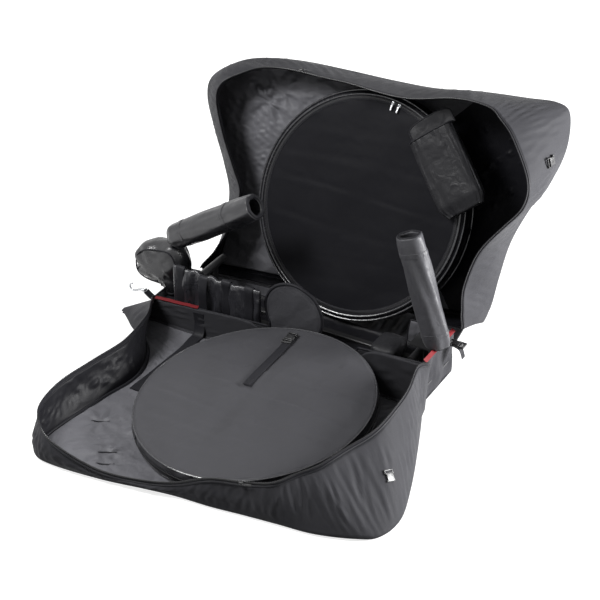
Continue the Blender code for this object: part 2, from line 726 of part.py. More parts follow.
def build_frame(root, paint):
    build_stand("rear_stand", REAR_STAND_X, REAR_STAND_LENGTH, REAR_HUB_HEIGHT, REAR_HUB_HALF_LENGTH,
        root, paint["steel"])
    reach = REAR_HUB_HALF_LENGTH + SEAT_GAP
    make_object(
        "rear_axle", rod_mesh("rear_axle", AXLE_RADIUS, 2 * reach, 10), paint["steel"], root,
        along_y(REAR_STAND_X, -reach, REAR_HUB_HEIGHT),
    )
    slide = make_empty("front_stand_slide", root)
    stand = build_stand(
        "front_stand", FRONT_STAND_X, FRONT_STAND_LENGTH, FRONT_HUB_HEIGHT, FRONT_HUB_HALF_LENGTH,
        slide, paint["steel"]
    )
    riser_low = RAIL_TOP + SEAT_GAP + STAND_PLATE_THICKNESS / 2
    riser_x = SLEEVE_SEAT_X[0] + POST_THICKNESS * RISER_SHARE
    riser = box_mesh(
        "front_stand_riser", (riser_x, -POST_HALF_WIDTH, riser_low),
        (riser_x + STAND_PLATE_THICKNESS, POST_HALF_WIDTH, SLEEVE_SEAT_HEIGHT - STAND_PLATE_THICKNESS / 2),
    )
    joined(stand, riser, "front_stand_riser", slide)
    seat = box_mesh(
        "front_stand_seat", (SLEEVE_SEAT_X[0], -STAND_PLATE_HALF_WIDTH * SEAT_WIDTH_SHARE,
        SLEEVE_SEAT_HEIGHT - STAND_PLATE_THICKNESS),
        (SLEEVE_SEAT_X[1], STAND_PLATE_HALF_WIDTH * SEAT_WIDTH_SHARE, SLEEVE_SEAT_HEIGHT),
    )
    joined(stand, seat, "front_stand_seat", slide)
    reach = FRONT_HUB_HALF_LENGTH + SEAT_GAP
    make_object(
        "fork_axle", rod_mesh("fork_axle", AXLE_RADIUS, 2 * reach, 10), paint["steel"], slide,
        along_y(FRONT_STAND_X, -reach, FRONT_HUB_HEIGHT),
    )
    build_lever("fork_lever", FRONT_STAND_X, -reach - SEAT_GAP, FRONT_HUB_HEIGHT, NEAR, paint, slide,
        math.pi)
    return slide


def rounded_section(centre, axis_u, axis_v, radius_u, radius_v, sides):
    centre = Vector(centre)
    turns = [2 * math.pi * k / sides for k in range(sides)]
    return [
        centre + axis_u * radius_u * math.cos(turn) + axis_v * radius_v * math.sin(turn) for turn in turns
    ]


def build_covers(root, slide, paint):
    """The padded covers: fork sleeve and foot pad on the front stand, the others on the base."""
    low = Vector((SLEEVE_BOTTOM[0], SLEEVE_Y, SLEEVE_BOTTOM[1]))
    high = Vector((SLEEVE_TOP[0], SLEEVE_Y, SLEEVE_TOP[1]))
    ahead, across = Vector((1, 0, 0)), Vector((0, 1, 0))
    sections = []
    for wall in (0, 1):
        rings = [
            rounded_section(
                low.lerp(high, t), ahead, across,
                (SLEEVE_RADII[0] - wall * SLEEVE_WALL) * swell,
                (SLEEVE_RADII[1] - wall * SLEEVE_WALL) * swell, 16,
            )
            for t, swell in zip(SLEEVE_STATION_SHARES, SLEEVE_SWELL_SHARES)
        ]
        sections += rings if wall == 0 else rings[::-1]
    make_object("fork_sleeve", sweep_mesh("fork_sleeve", sections, closed=True), paint["padding"], slide)
    plate_top = RAIL_TOP + SEAT_GAP
    pad = add_box(
        "fork_foot_pad", (FOOT_PAD_X[0], -FOOT_PAD_HALF_WIDTH, plate_top),
        (FOOT_PAD_X[1], FOOT_PAD_HALF_WIDTH, plate_top + FOOT_PAD_HEIGHT), paint["padding"], slide,
    )
    bevelled(pad, FOOT_PAD_HEIGHT * FOOT_PAD_EDGE_SHARE, 2)
    build_rear_pad(root, paint)
    build_stay_sleeve(root, paint)
    build_skirt(root, paint)
    build_guard(root, paint)


def build_rear_pad(root, paint):
    """A rounded cushion that rests on the board and bulges out over the rear wall."""
    foot = BOARD_TOP + SEAT_GAP
    ledge = seam_height(0) + BASE_WALL
    rear, front = REAR_PAD_X
    inside = 2 * BASE_WALL
    height = REAR_PAD_TOP
    outline = [
        (inside, foot),
        *((front * x, foot + (height - foot) * z) for x, z in REAR_PAD_FRONT_SHARES),
        *((front * x, height * z) for x, z in REAR_PAD_TOP_SHARES),
        *((rear * x, height * z) for x, z in REAR_PAD_BACK_SHARES),
        *((rear * x, ledge * z) for x, z in REAR_PAD_LEDGE_SHARES),
        (inside, ledge),
    ]
    half = REAR_PAD_HALF_WIDTH
    middle = (sum(x for x, _ in outline) / len(outline), sum(z for _, z in outline) / len(outline))
    sections = []
    for y_share, size in REAR_PAD_END_SHARES:
        ring = []
        for x, z in outline:
            if size < 1:
                x, z = middle[0] + (x - middle[0]) * size, max(middle[1] + (z - middle[1]) * size, foot)
                if x < inside:
                    z = max(z, ledge)
            ring.append((x, y_share * half, z))
        sections.append(ring)
    make_object("rear_pad", sweep_mesh("rear_pad", sections), paint["padding"], root)


def build_stay_sleeve(root, paint):
    """A padded sleeve that leaves the rear pad's top and rises forward, open at its upper end."""
    route = [Vector((x, 0, z)) for x, z in STAY_SLEEVE_ROUTE]
    across = Vector((0, 1, 0))
    outer, inner = [], []
    swells = STAY_SLEEVE_SWELL_SHARES
    for i, (point, swell) in enumerate(zip(route, swells)):
        ahead = (route[min(i + 1, len(route) - 1)] - route[max(i - 1, 0)]).normalized()
        up = ahead.cross(across)
        outer.append(rounded_section(point, up, across, STAY_SLEEVE_RADIUS * swell,
            STAY_SLEEVE_RADIUS * swell, 14))
        bore = STAY_SLEEVE_RADIUS * swell - SLEEVE_WALL
        inner.append(rounded_section(point, up, across, bore, bore, 14))
    mesh = sweep_mesh("stay_sleeve", outer + inner[::-1], closed=True)
    make_object("stay_sleeve", mesh, paint["padding"], root)


def build_skirt(root, paint):
    """A gathered, padded strip that stands on the board beside the near wall."""
    low, high = SKIRT_X
    foot = BOARD_TOP + SEAT_GAP
    columns = 12
    sections = []
    for i in range(columns + 1):
        x = low + (high - low) * i / columns
        swell = SKIRT_SWELL if i % 2 and i < columns else 0
        dip = SKIRT_SWELL * math.sin(math.pi * i / columns)
        top = SKIRT_TOP - dip
        half = SKIRT_THICKNESS / 2
        sections.append([
            (x, SKIRT_Y - half, foot), (x, SKIRT_Y + half, foot),
            (x, SKIRT_Y + half + swell, (foot + top) / 2),
            (x, SKIRT_Y + half, top - half), (x, SKIRT_Y, top), (x, SKIRT_Y - half, top - half),
        ])
    make_object("stay_skirt", sweep_mesh("stay_skirt", sections), paint["padding"], root)


def build_guard(root, paint):
    """A round flap that stands on the board."""
    foot = BOARD_TOP + SEAT_GAP
    outline = [(GUARD_X - GUARD_RADIUS, foot), (GUARD_X + GUARD_RADIUS, foot)]
    for k in range(15):
        turn = math.pi * k / 14
        outline.append((GUARD_X + GUARD_RADIUS * math.cos(turn),
            GUARD_CENTRE_HEIGHT + GUARD_RADIUS * math.sin(turn)))
    mesh = prism_mesh("chainring_guard", outline, GUARD_Y - GUARD_THICKNESS / 2,
        GUARD_Y + GUARD_THICKNESS / 2, 1)
    make_object("chainring_guard", mesh, paint["padding"], root)


def build_castors(root, paint):
    plate_top = WEB_UNDERSIDE - SEAT_GAP
    plate_low = plate_top - CASTOR_PLATE_THICKNESS
    crown_top = plate_low - SEAT_GAP
    crown_low = crown_top - CASTOR_CROWN_THICKNESS
    half = CASTOR_PLATE_SIDE / 2
    for end, x in zip(("rear", "nose"), CASTOR_X):
        for row, side in (("near", NEAR), ("far", FAR)):
            y = side * CASTOR_Y
            place = f"{end}_{row}"
            inset = BASE_HALF_WIDTH - BASE_WALL - SEAT_GAP
            edges = sorted((y - side * half, side * min(CASTOR_Y + half, inset)))
            add_box(
                f"castor_plate_{place}", (x - half, edges[0], plate_low),
                (x + half, edges[1], plate_top), paint["steel"], root
            )
            swivel = make_empty(f"castor_swivel_{place}", root, Matrix.Translation((x, y, 0)))
            build_castor_fork(place, swivel, paint, crown_low, crown_top)


def build_castor_fork(place, swivel, paint, crown_low, crown_top):
    name = f"castor_fork_{place}"
    disc = lathe_mesh(
        name, [(0, crown_low), (CASTOR_CROWN_RADIUS, crown_low), (CASTOR_CROWN_RADIUS, crown_top),
        (0, crown_top)], 16
    )
    fork = make_object(name, disc, paint["steel"], swivel)
    inner = CASTOR_WHEEL_WIDTH / 2 + CASTOR_SIDE_GAP
    outer = inner + CASTOR_LEG_THICKNESS
    neck = CASTOR_LEG_WIDTH / 2
    for label, side in (("left", -1), ("right", 1)):
        low, high = sorted((side * inner, side * outer))
        outline = [
            (-CASTOR_TRAIL - neck, CASTOR_WHEEL_RADIUS - neck),
            (-CASTOR_TRAIL + neck, CASTOR_WHEEL_RADIUS - neck),
            (CASTOR_CROWN_RADIUS / 2, (crown_low + crown_top) / 2),
            (-CASTOR_CROWN_RADIUS * CASTOR_CROWN_SHARE, (crown_low + crown_top) / 2),
        ]
        leg = prism_mesh(f"{name}_{label}_leg", outline, low, high, 1)
        joined(fork, leg, f"{name}_{label}_leg", swivel)
    axle = rod_mesh(name + "_axle", CASTOR_AXLE_RADIUS, 2 * outer, 10)
    joined(fork, axle, name + "_axle", swivel, along_y(-CASTOR_TRAIL, -outer, CASTOR_WHEEL_RADIUS))
    spin = make_empty(f"castor_spin_{place}", swivel, along_y(-CASTOR_TRAIL, 0, CASTOR_WHEEL_RADIUS))
    half = CASTOR_WHEEL_WIDTH / 2
    bore = CASTOR_AXLE_RADIUS + CASTOR_BORE_GAP
    edge = half * CASTOR_TREAD_SHARE
    profile = [
        (bore, -half), (CASTOR_WHEEL_RADIUS * CASTOR_SHOULDER_SHARE, -half), (CASTOR_WHEEL_RADIUS, -edge),
        (CASTOR_WHEEL_RADIUS, edge), (CASTOR_WHEEL_RADIUS * CASTOR_SHOULDER_SHARE, half), (bore, half),
    ]
    make_object(f"castor_wheel_{place}", lathe_mesh("castor_wheel", profile, 24), paint["rubber"], spin)


def build_half(side, name, shares, seam_row, root, paint):
    hinge = make_empty(f"{name}_hinge", root, half_matrix(side))
    rows = half_outline(shares)
    make_object(f"{name}_shell", shell_mesh(f"{name}_shell", side, rows), paint["nylon"], hinge)
    make_object(f"{name}_zip_tape", tape_mesh(f"{name}_zip_tape", side, rows, seam_row),
        paint["webbing"], hinge)
    make_object(f"{name}_side_pad", pad_mesh(f"{name}_side_pad", side, rows), paint["lining"], hinge)
    return hinge, rows


def cap_profile(depth, radius, wall, edge):
    """A round cap's section: its face at zero, its rim at depth, open at the back."""
    return [
        (0, 0), (radius - edge, 0), (radius - edge * CAP_EDGE_SHARE, edge * CAP_EDGE_SHARE),
        (radius, edge), (radius, depth),
        (radius - wall, depth), (radius - wall, edge), (radius - edge, wall), (0, wall),
    ]


def build_hub_pad(name, side, place, face_out, hinge, paint):
    """A foam hub pad from the back of a wheel bag to the side pad, cut to the pad's slope."""
    s, h = place
    depth = pad_face(s, h) - face_out - 2 * SEAT_GAP
    wide, narrow = HUB_PAD_RADII
    mesh = lathe_mesh(name, [(0, 0), (narrow, 0), (wide, depth), (0, depth)], 24)
    for vertex in mesh.vertices:
        if vertex.co.z > depth / 2:
            vertex.co.z += NOSE_FLARE * vertex.co.x + side * TOP_TAPER * vertex.co.y
    make_object(name, mesh, paint["padding"], hinge, facing(side, s, h, face_out + SEAT_GAP))


def build_near_bag(hinge, paint):
    """The padded wheel bag: two caps that meet at a zip band, and the zip's slider."""
    s, h = NEAR_BAG_PLACE
    face = facing(NEAR, s, h, NEAR_BAG_FACE)
    half = (NEAR_BAG_DEPTH - SEAT_GAP) / 2
    front = cap_profile(half, WHEEL_BAG_RADIUS, WHEEL_BAG_WALL, WHEEL_BAG_EDGE)
    make_object("near_bag_front", lathe_mesh("near_bag_front", front, WHEEL_BAG_SIDES),
        paint["padding"], hinge, face)
    back = [(r, NEAR_BAG_DEPTH - z) for r,
        z in cap_profile(half, WHEEL_BAG_RADIUS, WHEEL_BAG_WALL, WHEEL_BAG_EDGE)]
    make_object("near_bag_back", lathe_mesh("near_bag_back", back, WHEEL_BAG_SIDES), paint["padding"],
        hinge, face)
    inner = WHEEL_BAG_RADIUS + SEAT_GAP
    outer = inner + ZIP_BAND_THICKNESS
    low, high = (NEAR_BAG_DEPTH - ZIP_BAND_WIDTH) / 2, (NEAR_BAG_DEPTH + ZIP_BAND_WIDTH) / 2
    band = [(inner, low), (outer, low), (outer, high), (inner, high)]
    make_object("near_bag_zip", lathe_mesh("near_bag_zip", band, WHEEL_BAG_SIDES), paint["webbing"],
        hinge, face)
    build_hub_pad("near_hub_pad", NEAR, NEAR_BAG_PLACE, NEAR_BAG_FACE + NEAR_BAG_DEPTH, hinge, paint)
    build_ring_slider("near_bag_slider", hinge, face, NEAR_SLIDER_ANGLE, outer + SEAT_GAP,
        NEAR_BAG_DEPTH / 2, paint)


def build_ring_slider(name, hinge, face, angle, radius, level, paint):
    """A zip slider with its pull. Its empty lies on the round bag's axis."""
    pivot = make_empty(name + "_pivot", hinge, face @ Matrix.Rotation(angle, 4, "Z"))
    length, width, height = RING_SLIDER_SIZE
    drop = radius
    mesh = box_mesh(name, (drop, -length / 2, level - width / 2),
        (drop + height, length / 2, level + width / 2))
    slider = make_object(name, mesh, paint["buckle"], pivot)
    pull = box_mesh(
        name + "_pull", (drop + height * PULL_SHARES[3], length * PULL_SHARES[1],
        level - width * PULL_SHARES[1]),
        (drop + height * PULL_SHARES[5], length / 2 + RING_PULL_LENGTH, level + width * PULL_SHARES[1]),
    )
    joined(slider, pull, name + "_pull", pivot)


def build_far_pocket(hinge, paint):
    """The round wheel pocket sewn to the side pad, its piping and its two sliders."""
    s, h = FAR_POCKET_PLACE
    face = facing(FAR, s, h, FAR_POCKET_FACE)
    profile = cap_profile(FAR_POCKET_DEPTH, WHEEL_BAG_RADIUS, WHEEL_BAG_WALL, WHEEL_BAG_EDGE)
    make_object("far_pocket", lathe_mesh("far_pocket", profile, WHEEL_BAG_SIDES), paint["padding"],
        hinge, face)
    build_hub_pad("far_hub_pad", FAR, FAR_POCKET_PLACE, FAR_POCKET_FACE + WHEEL_BAG_WALL, hinge, paint)
    middle = WHEEL_BAG_RADIUS - WHEEL_BAG_EDGE - PIPING_RADIUS
    level = -PIPING_RADIUS - SEAT_GAP
    piping = [
        (middle + PIPING_RADIUS * math.cos(math.pi * k / 3),
        level + PIPING_RADIUS * math.sin(math.pi * k / 3)) for k in range(6)
    ]
    make_object("far_pocket_piping", lathe_mesh("far_pocket_piping", piping, WHEEL_BAG_SIDES),
        paint["webbing"], hinge, face)
    for label, angle in zip("ab", FAR_SLIDER_ANGLES):
        build_face_slider(f"far_pocket_slider_{label}", hinge, face, angle,
            middle - PIPING_RADIUS - SEAT_GAP, paint)


def build_face_slider(name, hinge, face, angle, radius, paint):
    """A slider on the pocket's face just inside the piping, with its pull toward the middle."""
    pivot = make_empty(name + "_pivot", hinge, face @ Matrix.Rotation(-angle, 4, "Z"))
    length, width, height = RING_SLIDER_SIZE
    outer = radius * math.cos(math.pi / WHEEL_BAG_SIDES) - 2 * SEAT_GAP
    body = box_mesh(name, (outer - length, -width / 2, -height - SEAT_GAP), (outer, width / 2, -SEAT_GAP))
    slider = make_object(name, body, paint["aluminium"], pivot)
    pull = box_mesh(
        name + "_pull", (outer - length - RING_PULL_LENGTH, -width * PULL_SHARES[2],
        -height * PULL_SHARES[5]),
        (outer - length / 2, width * PULL_SHARES[2], -height * PULL_SHARES[3]),
    )
    joined(slider, pull, name + "_pull", pivot)


def build_buckle(prefix, matrix, parent, paint, tongue_parent):
    """A side-release buckle lying flat: a socket, and a tongue that pulls out along X."""
    length, width, height = BUCKLE_SIZE
    socket = make_object(
        prefix + "_socket", box_mesh(prefix + "_socket", (0, -width / 2, 0), (length, width / 2, height)),
        paint["buckle"], parent, matrix,
    )
    inner = width / 2 - BUCKLE_WALL
    cave = box_mesh(
        prefix + "_socket_cutter", (length * BUCKLE_CAVE_SHARE, -inner, BUCKLE_WALL),
        (length + BUCKLE_WALL, inner, height - BUCKLE_WALL)
    )
    bored(socket, cave, prefix + "_socket_cutter", parent, matrix)
    gap = TONGUE_GAP
    tongue_low = (length * BUCKLE_CAVE_SHARE + gap, -inner + gap, BUCKLE_WALL + gap)
    tongue_high = (length + gap, inner - gap, height - BUCKLE_WALL - gap)
    mesh = box_mesh(prefix + "_tongue", tongue_low, tongue_high)
    tongue = make_object(prefix + "_tongue", mesh, paint["buckle"], tongue_parent, matrix)
    head = box_mesh(
        prefix + "_tongue_head", (length + gap, -width / 2, gap),
        (length + gap + BUCKLE_TONGUE_LENGTH, width / 2, height - gap)
    )
    joined(tongue, head, prefix + "_tongue_head", tongue_parent, matrix)


def build_near_straps(hinge, paint):
    """Webbing and a buckle on the wheel bag, and the wide strap on the lining."""
    low, high = WHEEL_STRAP_H
    out = NEAR_BAG_FACE - SEAT_GAP - STRAP_THICKNESS / 2
    route = [(WHEEL_STRAP_S, NEAR * out, low), (WHEEL_STRAP_S, NEAR * out, high)]
    mesh = ribbon_mesh("wheel_strap", route, (1, 0, 0), WHEEL_STRAP_WIDTH, STRAP_THICKNESS)
    make_object("wheel_strap", mesh, paint["webbing"], hinge)
    buckle_out = out - STRAP_THICKNESS / 2 - SEAT_GAP
    spot = Matrix.Translation((WHEEL_STRAP_S, NEAR * buckle_out, low))
    turn = Matrix(((0, 1, 0, 0), (0, 0, 1, 0), (1, 0, 0, 0), (0, 0, 0, 1)))
    build_buckle("strap_buckle", spot @ turn.inverted().transposed(), hinge, paint, hinge)
    s = WIDE_STRAP_S
    start_out, end_h = WIDE_STRAP_START_OUT, WIDE_STRAP_END_H
    start_h = HINGE_CLEARANCE + TOP_TAPER * start_out + SHELL_WALL + STRAP_THICKNESS / 3
    rest = SEAT_GAP + STRAP_THICKNESS / 2
    flat_h = end_h - WIDE_STRAP_WIDTH
    route = [
        (s, NEAR * start_out, start_h), (s, NEAR * (pad_face(s, flat_h) - rest), flat_h),
        (s, NEAR * (pad_face(s, end_h) - rest), end_h),
    ]
    mesh = ribbon_mesh("near_wide_strap", route, (1, NEAR * NOSE_FLARE, 0), WIDE_STRAP_WIDTH,
        STRAP_THICKNESS)
    make_object("near_wide_strap", mesh, paint["webbing"], hinge)


def build_rim_slider(name, side, rows, index, hinge, paint):
    """A zip slider outside the tape, at one point of the outline."""
    s, h, out = rows[index][2:5]
    before, after = rows[index - 1], rows[index + 1]
    lean = math.atan2(after[3] - before[3], after[2] - before[2])
    place = Matrix.Translation((s, side * out, h)) @ Matrix.Rotation(-lean, 4, "Y")
    length, thickness, height = SLIDER_SIZE
    lift = 2 * SEAT_GAP
    low, high = sorted((side * -SEAT_GAP, -side * height))
    mesh = box_mesh(name, (-length / 2, low, lift), (length / 2, high, lift + thickness))
    slider = make_object(name, mesh, paint["buckle"], hinge, place)
    pull = box_mesh(
        name + "_pull", (length * PULL_SHARES[0], low * PULL_SHARES[4], lift + thickness * PULL_SHARES[1]),
        (length / 2 + SLIDER_PULL_LENGTH, high * PULL_SHARES[4] if high > 0 else low * PULL_SHARES[1],
        lift + thickness * PULL_SHARES[4]),
    )
    joined(slider, pull, name + "_pull", hinge, place)


def build_organiser(hinge, paint):
    """The box pocket that leans on the wheel pocket's face, and its flap, folded back."""
    s, h = ORGANISER_PLACE
    width, length, depth = ORGANISER_SIZE
    back = FAR_POCKET_FACE - 2 * PIPING_RADIUS - 2 * SEAT_GAP
    lean = Matrix.Translation((s, back, h)) @ Matrix.Rotation(-ORGANISER_LEAN, 4, "Y")
    mesh = box_mesh("organiser_pocket", (-width / 2, -depth, -length / 2), (width / 2, 0, length / 2))
    pocket = make_object("organiser_pocket", mesh, paint["lining"], hinge, lean)
    wall = ORGANISER_WALL
    cave = box_mesh(
        "organiser_cutter", (wall - width / 2, wall - depth, wall - length / 2),
        (width / 2 - wall, -wall, length / 2 + wall)
    )
    bored(pocket, cave, "organiser_cutter", hinge, lean)
    half = FLAP_THICKNESS / 2
    raised = length / 2 + half * math.sqrt(2) + SEAT_GAP
    pivot = make_empty("organiser_flap_pivot", hinge, lean @ Matrix.Translation((0, -half, raised)))
    mesh = box_mesh("organiser_flap", (-width / 2, -half, -half), (width / 2, half, FLAP_LENGTH))
    make_object("organiser_flap", mesh, paint["lining"], pivot)


def build_closure_buckle(name, side, row, rows, hinge, paint):
    """Half of the strap closure, sewn to the outside of a half's nose wall."""
    index = row * OUTLINE_STEPS
    rings = [[Vector((s, side * o, h)) for s, h, o in ring] for ring in wall_rings(rows)]
    spot = rings[2][index]
    along = (rings[2][index + 1] - rings[2][index - 1]).normalized()
    across = (rings[3][index] - rings[1][index]).normalized()
    out = across.cross(along).normalized()
    if out.x < 0:
        out = -out
    along = out.cross(across)
    place = Matrix((across, along, out)).transposed().to_4x4()
    place.translation = spot + out * BUCKLE_LIFT
    length, width, height = BUCKLE_SIZE
    mesh = box_mesh(name, (-length / 2, -width / 2, 0), (length / 2, width / 2, height))
    make_object(name, mesh, paint["buckle"], hinge, place)


def build_end_fittings(root, paint):
    """A ring and snap hook at the rear end, and a buckle with a webbing tail at the nose."""
    face = -SEAT_GAP
    route = [
        (face, RING_TAB_Y, RING_TAB_HEIGHT),
        *((-RING_TAB_LENGTH * x, RING_TAB_Y, RING_TAB_HEIGHT * z) for x, z in RING_TAB_ROUTE_SHARES),
    ]
    make_object(
        "rear_ring_tab", ribbon_mesh("rear_ring_tab", route, (0, 1, 0), RING_TAB_WIDTH,
        2 * STRAP_THICKNESS),
        paint["webbing"], root,
    )
    pivot_x = -RING_TAB_LENGTH - HOOK_WIRE_RADIUS - 5 * SEAT_GAP
    pivot_z = RING_TAB_HEIGHT * RING_TAB_ROUTE_SHARES[-1][1]
    pivot = make_empty("snap_hook_pivot", root, Matrix.Translation((pivot_x, RING_TAB_Y, pivot_z)))
    eye = rod_mesh("snap_hook", HOOK_WIRE_RADIUS, RING_TAB_WIDTH * HOOK_EYE_SHARE, 10)
    hook = make_object(
        "snap_hook", eye, paint["steel"], pivot, along_y(0, -RING_TAB_WIDTH * HOOK_EYE_SHARE / 2, 0)
    )
    radius = HOOK_LENGTH * HOOK_LOOP_SHARES[0]
    loop = []
    for k in range(15):
        turn = math.radians(HOOK_LOOP_START + HOOK_LOOP_STEP * k)
        loop.append((-HOOK_LENGTH + radius * (1 - math.cos(turn)),
            radius * HOOK_LOOP_SHARES[1] * math.sin(turn)))
    path = [Vector((0, 0, 0)), Vector((-HOOK_LENGTH * HOOK_LOOP_SHARES[2], 0, 0))]
    path += [Vector((x, 0, z)) for x, z in loop[6:]]
    sections = []
    for i, point in enumerate(path):
        ahead = (path[min(i + 1, len(path) - 1)] - path[max(i - 1, 0)]).normalized()
        up = ahead.cross(Vector((0, 1, 0)))
        sections.append(rounded_section(point, up, Vector((0, 1, 0)), HOOK_WIRE_RADIUS,
            HOOK_WIRE_RADIUS, 8))
    joined(hook, sweep_mesh("snap_hook_wire", sections), "snap_hook_wire", pivot)
    x = BASE_LENGTH + SEAT_GAP
    y = BASE_HALF_WIDTH - BUCKLE_INSET_SHARE * BUCKLE_SIZE[1]
    z = seam_height(BASE_LENGTH) - 3 * BUCKLE_SIZE[2]
    build_buckle("nose_buckle", Matrix.Translation((x, y, z)), root, paint, root)
    tail_x = x + BUCKLE_SIZE[0] * TAIL_SHARES[0]
    route = [(tail_x, y, z - SEAT_GAP - STRAP_THICKNESS / 2),
        (tail_x + BUCKLE_SIZE[0] * TAIL_SHARES[1], y, z - BUCKLE_SIZE[2]),
        (tail_x + BUCKLE_SIZE[0] * TAIL_SHARES[2], y, z - 4 * BUCKLE_SIZE[2])]
    make_object(
        "nose_buckle_tail", ribbon_mesh("nose_buckle_tail", route, (0, 1, 0),
        WHEEL_STRAP_WIDTH * TAIL_WIDTH_SHARE,
        STRAP_THICKNESS),
        paint["webbing"], root,
    )


def centre_over_origin(root):
    """Moves the whole bag so that the origin lies under the middle of its outer box."""
    bpy.context.view_layer.update()
    graph = bpy.context.evaluated_depsgraph_get()
    low, high = Vector((math.inf,) * 3), Vector((-math.inf,) * 3)
    for thing in bpy.data.objects:
        if thing.type != "MESH" or thing.hide_render:
            continue
        evaluated = thing.evaluated_get(graph)
        for vertex in evaluated.data.vertices:
            point = evaluated.matrix_world @ vertex.co
            for axis in range(3):
                low[axis] = min(low[axis], point[axis])
                high[axis] = max(high[axis], point[axis])
    root.location = (-(low.x + high.x) / 2, -(low.y + high.y) / 2, -low.z)
    bpy.context.view_layer.update()


def main():
    clear_scene()
    paint = make_materials()
    root = make_empty("bag_origin")
    build_base(root, paint)
    slide = build_frame(root, paint)
    build_covers(root, slide, paint)
    build_castors(root, paint)
    build_end_fittings(root, paint)
    near, near_rows = build_half(NEAR, "near", NEAR_OUTLINE_SHARES, NEAR_SEAM_ROW, root, paint)
    build_near_bag(near, paint)
    build_near_straps(near, paint)
    build_rim_slider("near_zip_slider", NEAR, near_rows, NEAR_SLIDER_ROW * OUTLINE_STEPS, near, paint)
    build_closure_buckle("near_closure_buckle", NEAR, NEAR_CLOSURE_ROW, near_rows, near, paint)
    far, far_rows = build_half(FAR, "far", FAR_OUTLINE_SHARES, FAR_SEAM_ROW, root, paint)
    build_far_pocket(far, paint)
    build_organiser(far, paint)
    build_rim_slider("far_zip_slider", FAR, far_rows, FAR_SLIDER_ROW * OUTLINE_STEPS, far, paint)
    build_closure_buckle("far_closure_buckle", FAR, FAR_CLOSURE_ROW, far_rows, far, paint)
    centre_over_origin(root)


main()
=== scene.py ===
"""Looks of a soft bike travel bag, open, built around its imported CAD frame.

In a half of the bag s runs along its seam, h up its side panel and o outward from the seam's plane.
"""

import json
import math

import bmesh
import bpy
import numpy as np
from mathutils import Matrix, Vector


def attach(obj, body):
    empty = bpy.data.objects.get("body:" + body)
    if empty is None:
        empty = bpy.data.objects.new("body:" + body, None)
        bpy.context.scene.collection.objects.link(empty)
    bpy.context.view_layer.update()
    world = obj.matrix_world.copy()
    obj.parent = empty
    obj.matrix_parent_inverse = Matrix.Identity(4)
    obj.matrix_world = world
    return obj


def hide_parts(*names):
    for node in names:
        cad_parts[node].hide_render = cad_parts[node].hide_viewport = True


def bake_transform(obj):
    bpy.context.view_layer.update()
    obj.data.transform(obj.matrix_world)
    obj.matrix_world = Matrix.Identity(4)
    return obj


bl_info = {
    "name": "Soft bike travel bag",
    "version": (1, 0, 0),
    "blender": (4, 5, 0),
    "location": "View3D > Sidebar > Travel bag",
    "description": "Builds the cloth, zips, straps and fittings of an open soft bike travel bag",
    "category": "Object",
}

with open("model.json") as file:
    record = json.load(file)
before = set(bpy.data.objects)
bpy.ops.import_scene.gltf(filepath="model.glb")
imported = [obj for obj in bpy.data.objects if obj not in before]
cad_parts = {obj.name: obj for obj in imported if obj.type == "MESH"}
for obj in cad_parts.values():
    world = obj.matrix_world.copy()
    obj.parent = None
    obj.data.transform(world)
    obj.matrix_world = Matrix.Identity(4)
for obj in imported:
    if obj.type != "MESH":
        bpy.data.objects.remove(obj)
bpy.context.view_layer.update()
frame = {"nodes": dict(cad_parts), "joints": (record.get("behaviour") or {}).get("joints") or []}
JOINTS = {joint["name"]: joint for joint in frame["joints"]}
NEAR, FAR = -1, 1

# The bag's own frame: its rear end on the centre line of the base, on the floor
BAG_START = Vector((
    JOINTS["near_half_fold"]["pos_m"][0],
    (JOINTS["near_half_fold"]["pos_m"][1] + JOINTS["far_half_fold"]["pos_m"][1]) / 2,
    0,
))
SEAM_HALF_WIDTH = 0.100
SEAM_HEIGHT = 0.083
NOSE_FLARE = 0.0773
TOP_TAPER = 0.0893
SEAM_SLOPE = math.atan(NOSE_FLARE / math.sqrt(1 + TOP_TAPER**2))
NEAR_OPEN = math.radians(90) + math.atan(TOP_TAPER)
FAR_OPEN = math.radians(25)
PANEL_OUT = SEAM_HEIGHT / math.sin(NEAR_OPEN)
HALF_LENGTH = 1.100
HALF_HEIGHT = 0.700
SEAM_CLEARANCE = 0.0033
BASE_LENGTH = 0.930
BASE_HALF_WIDTH = 0.1025
NEAR_SEAM_ROW = 22
FAR_SEAM_ROW = 24
OUTLINE_STEPS = 16

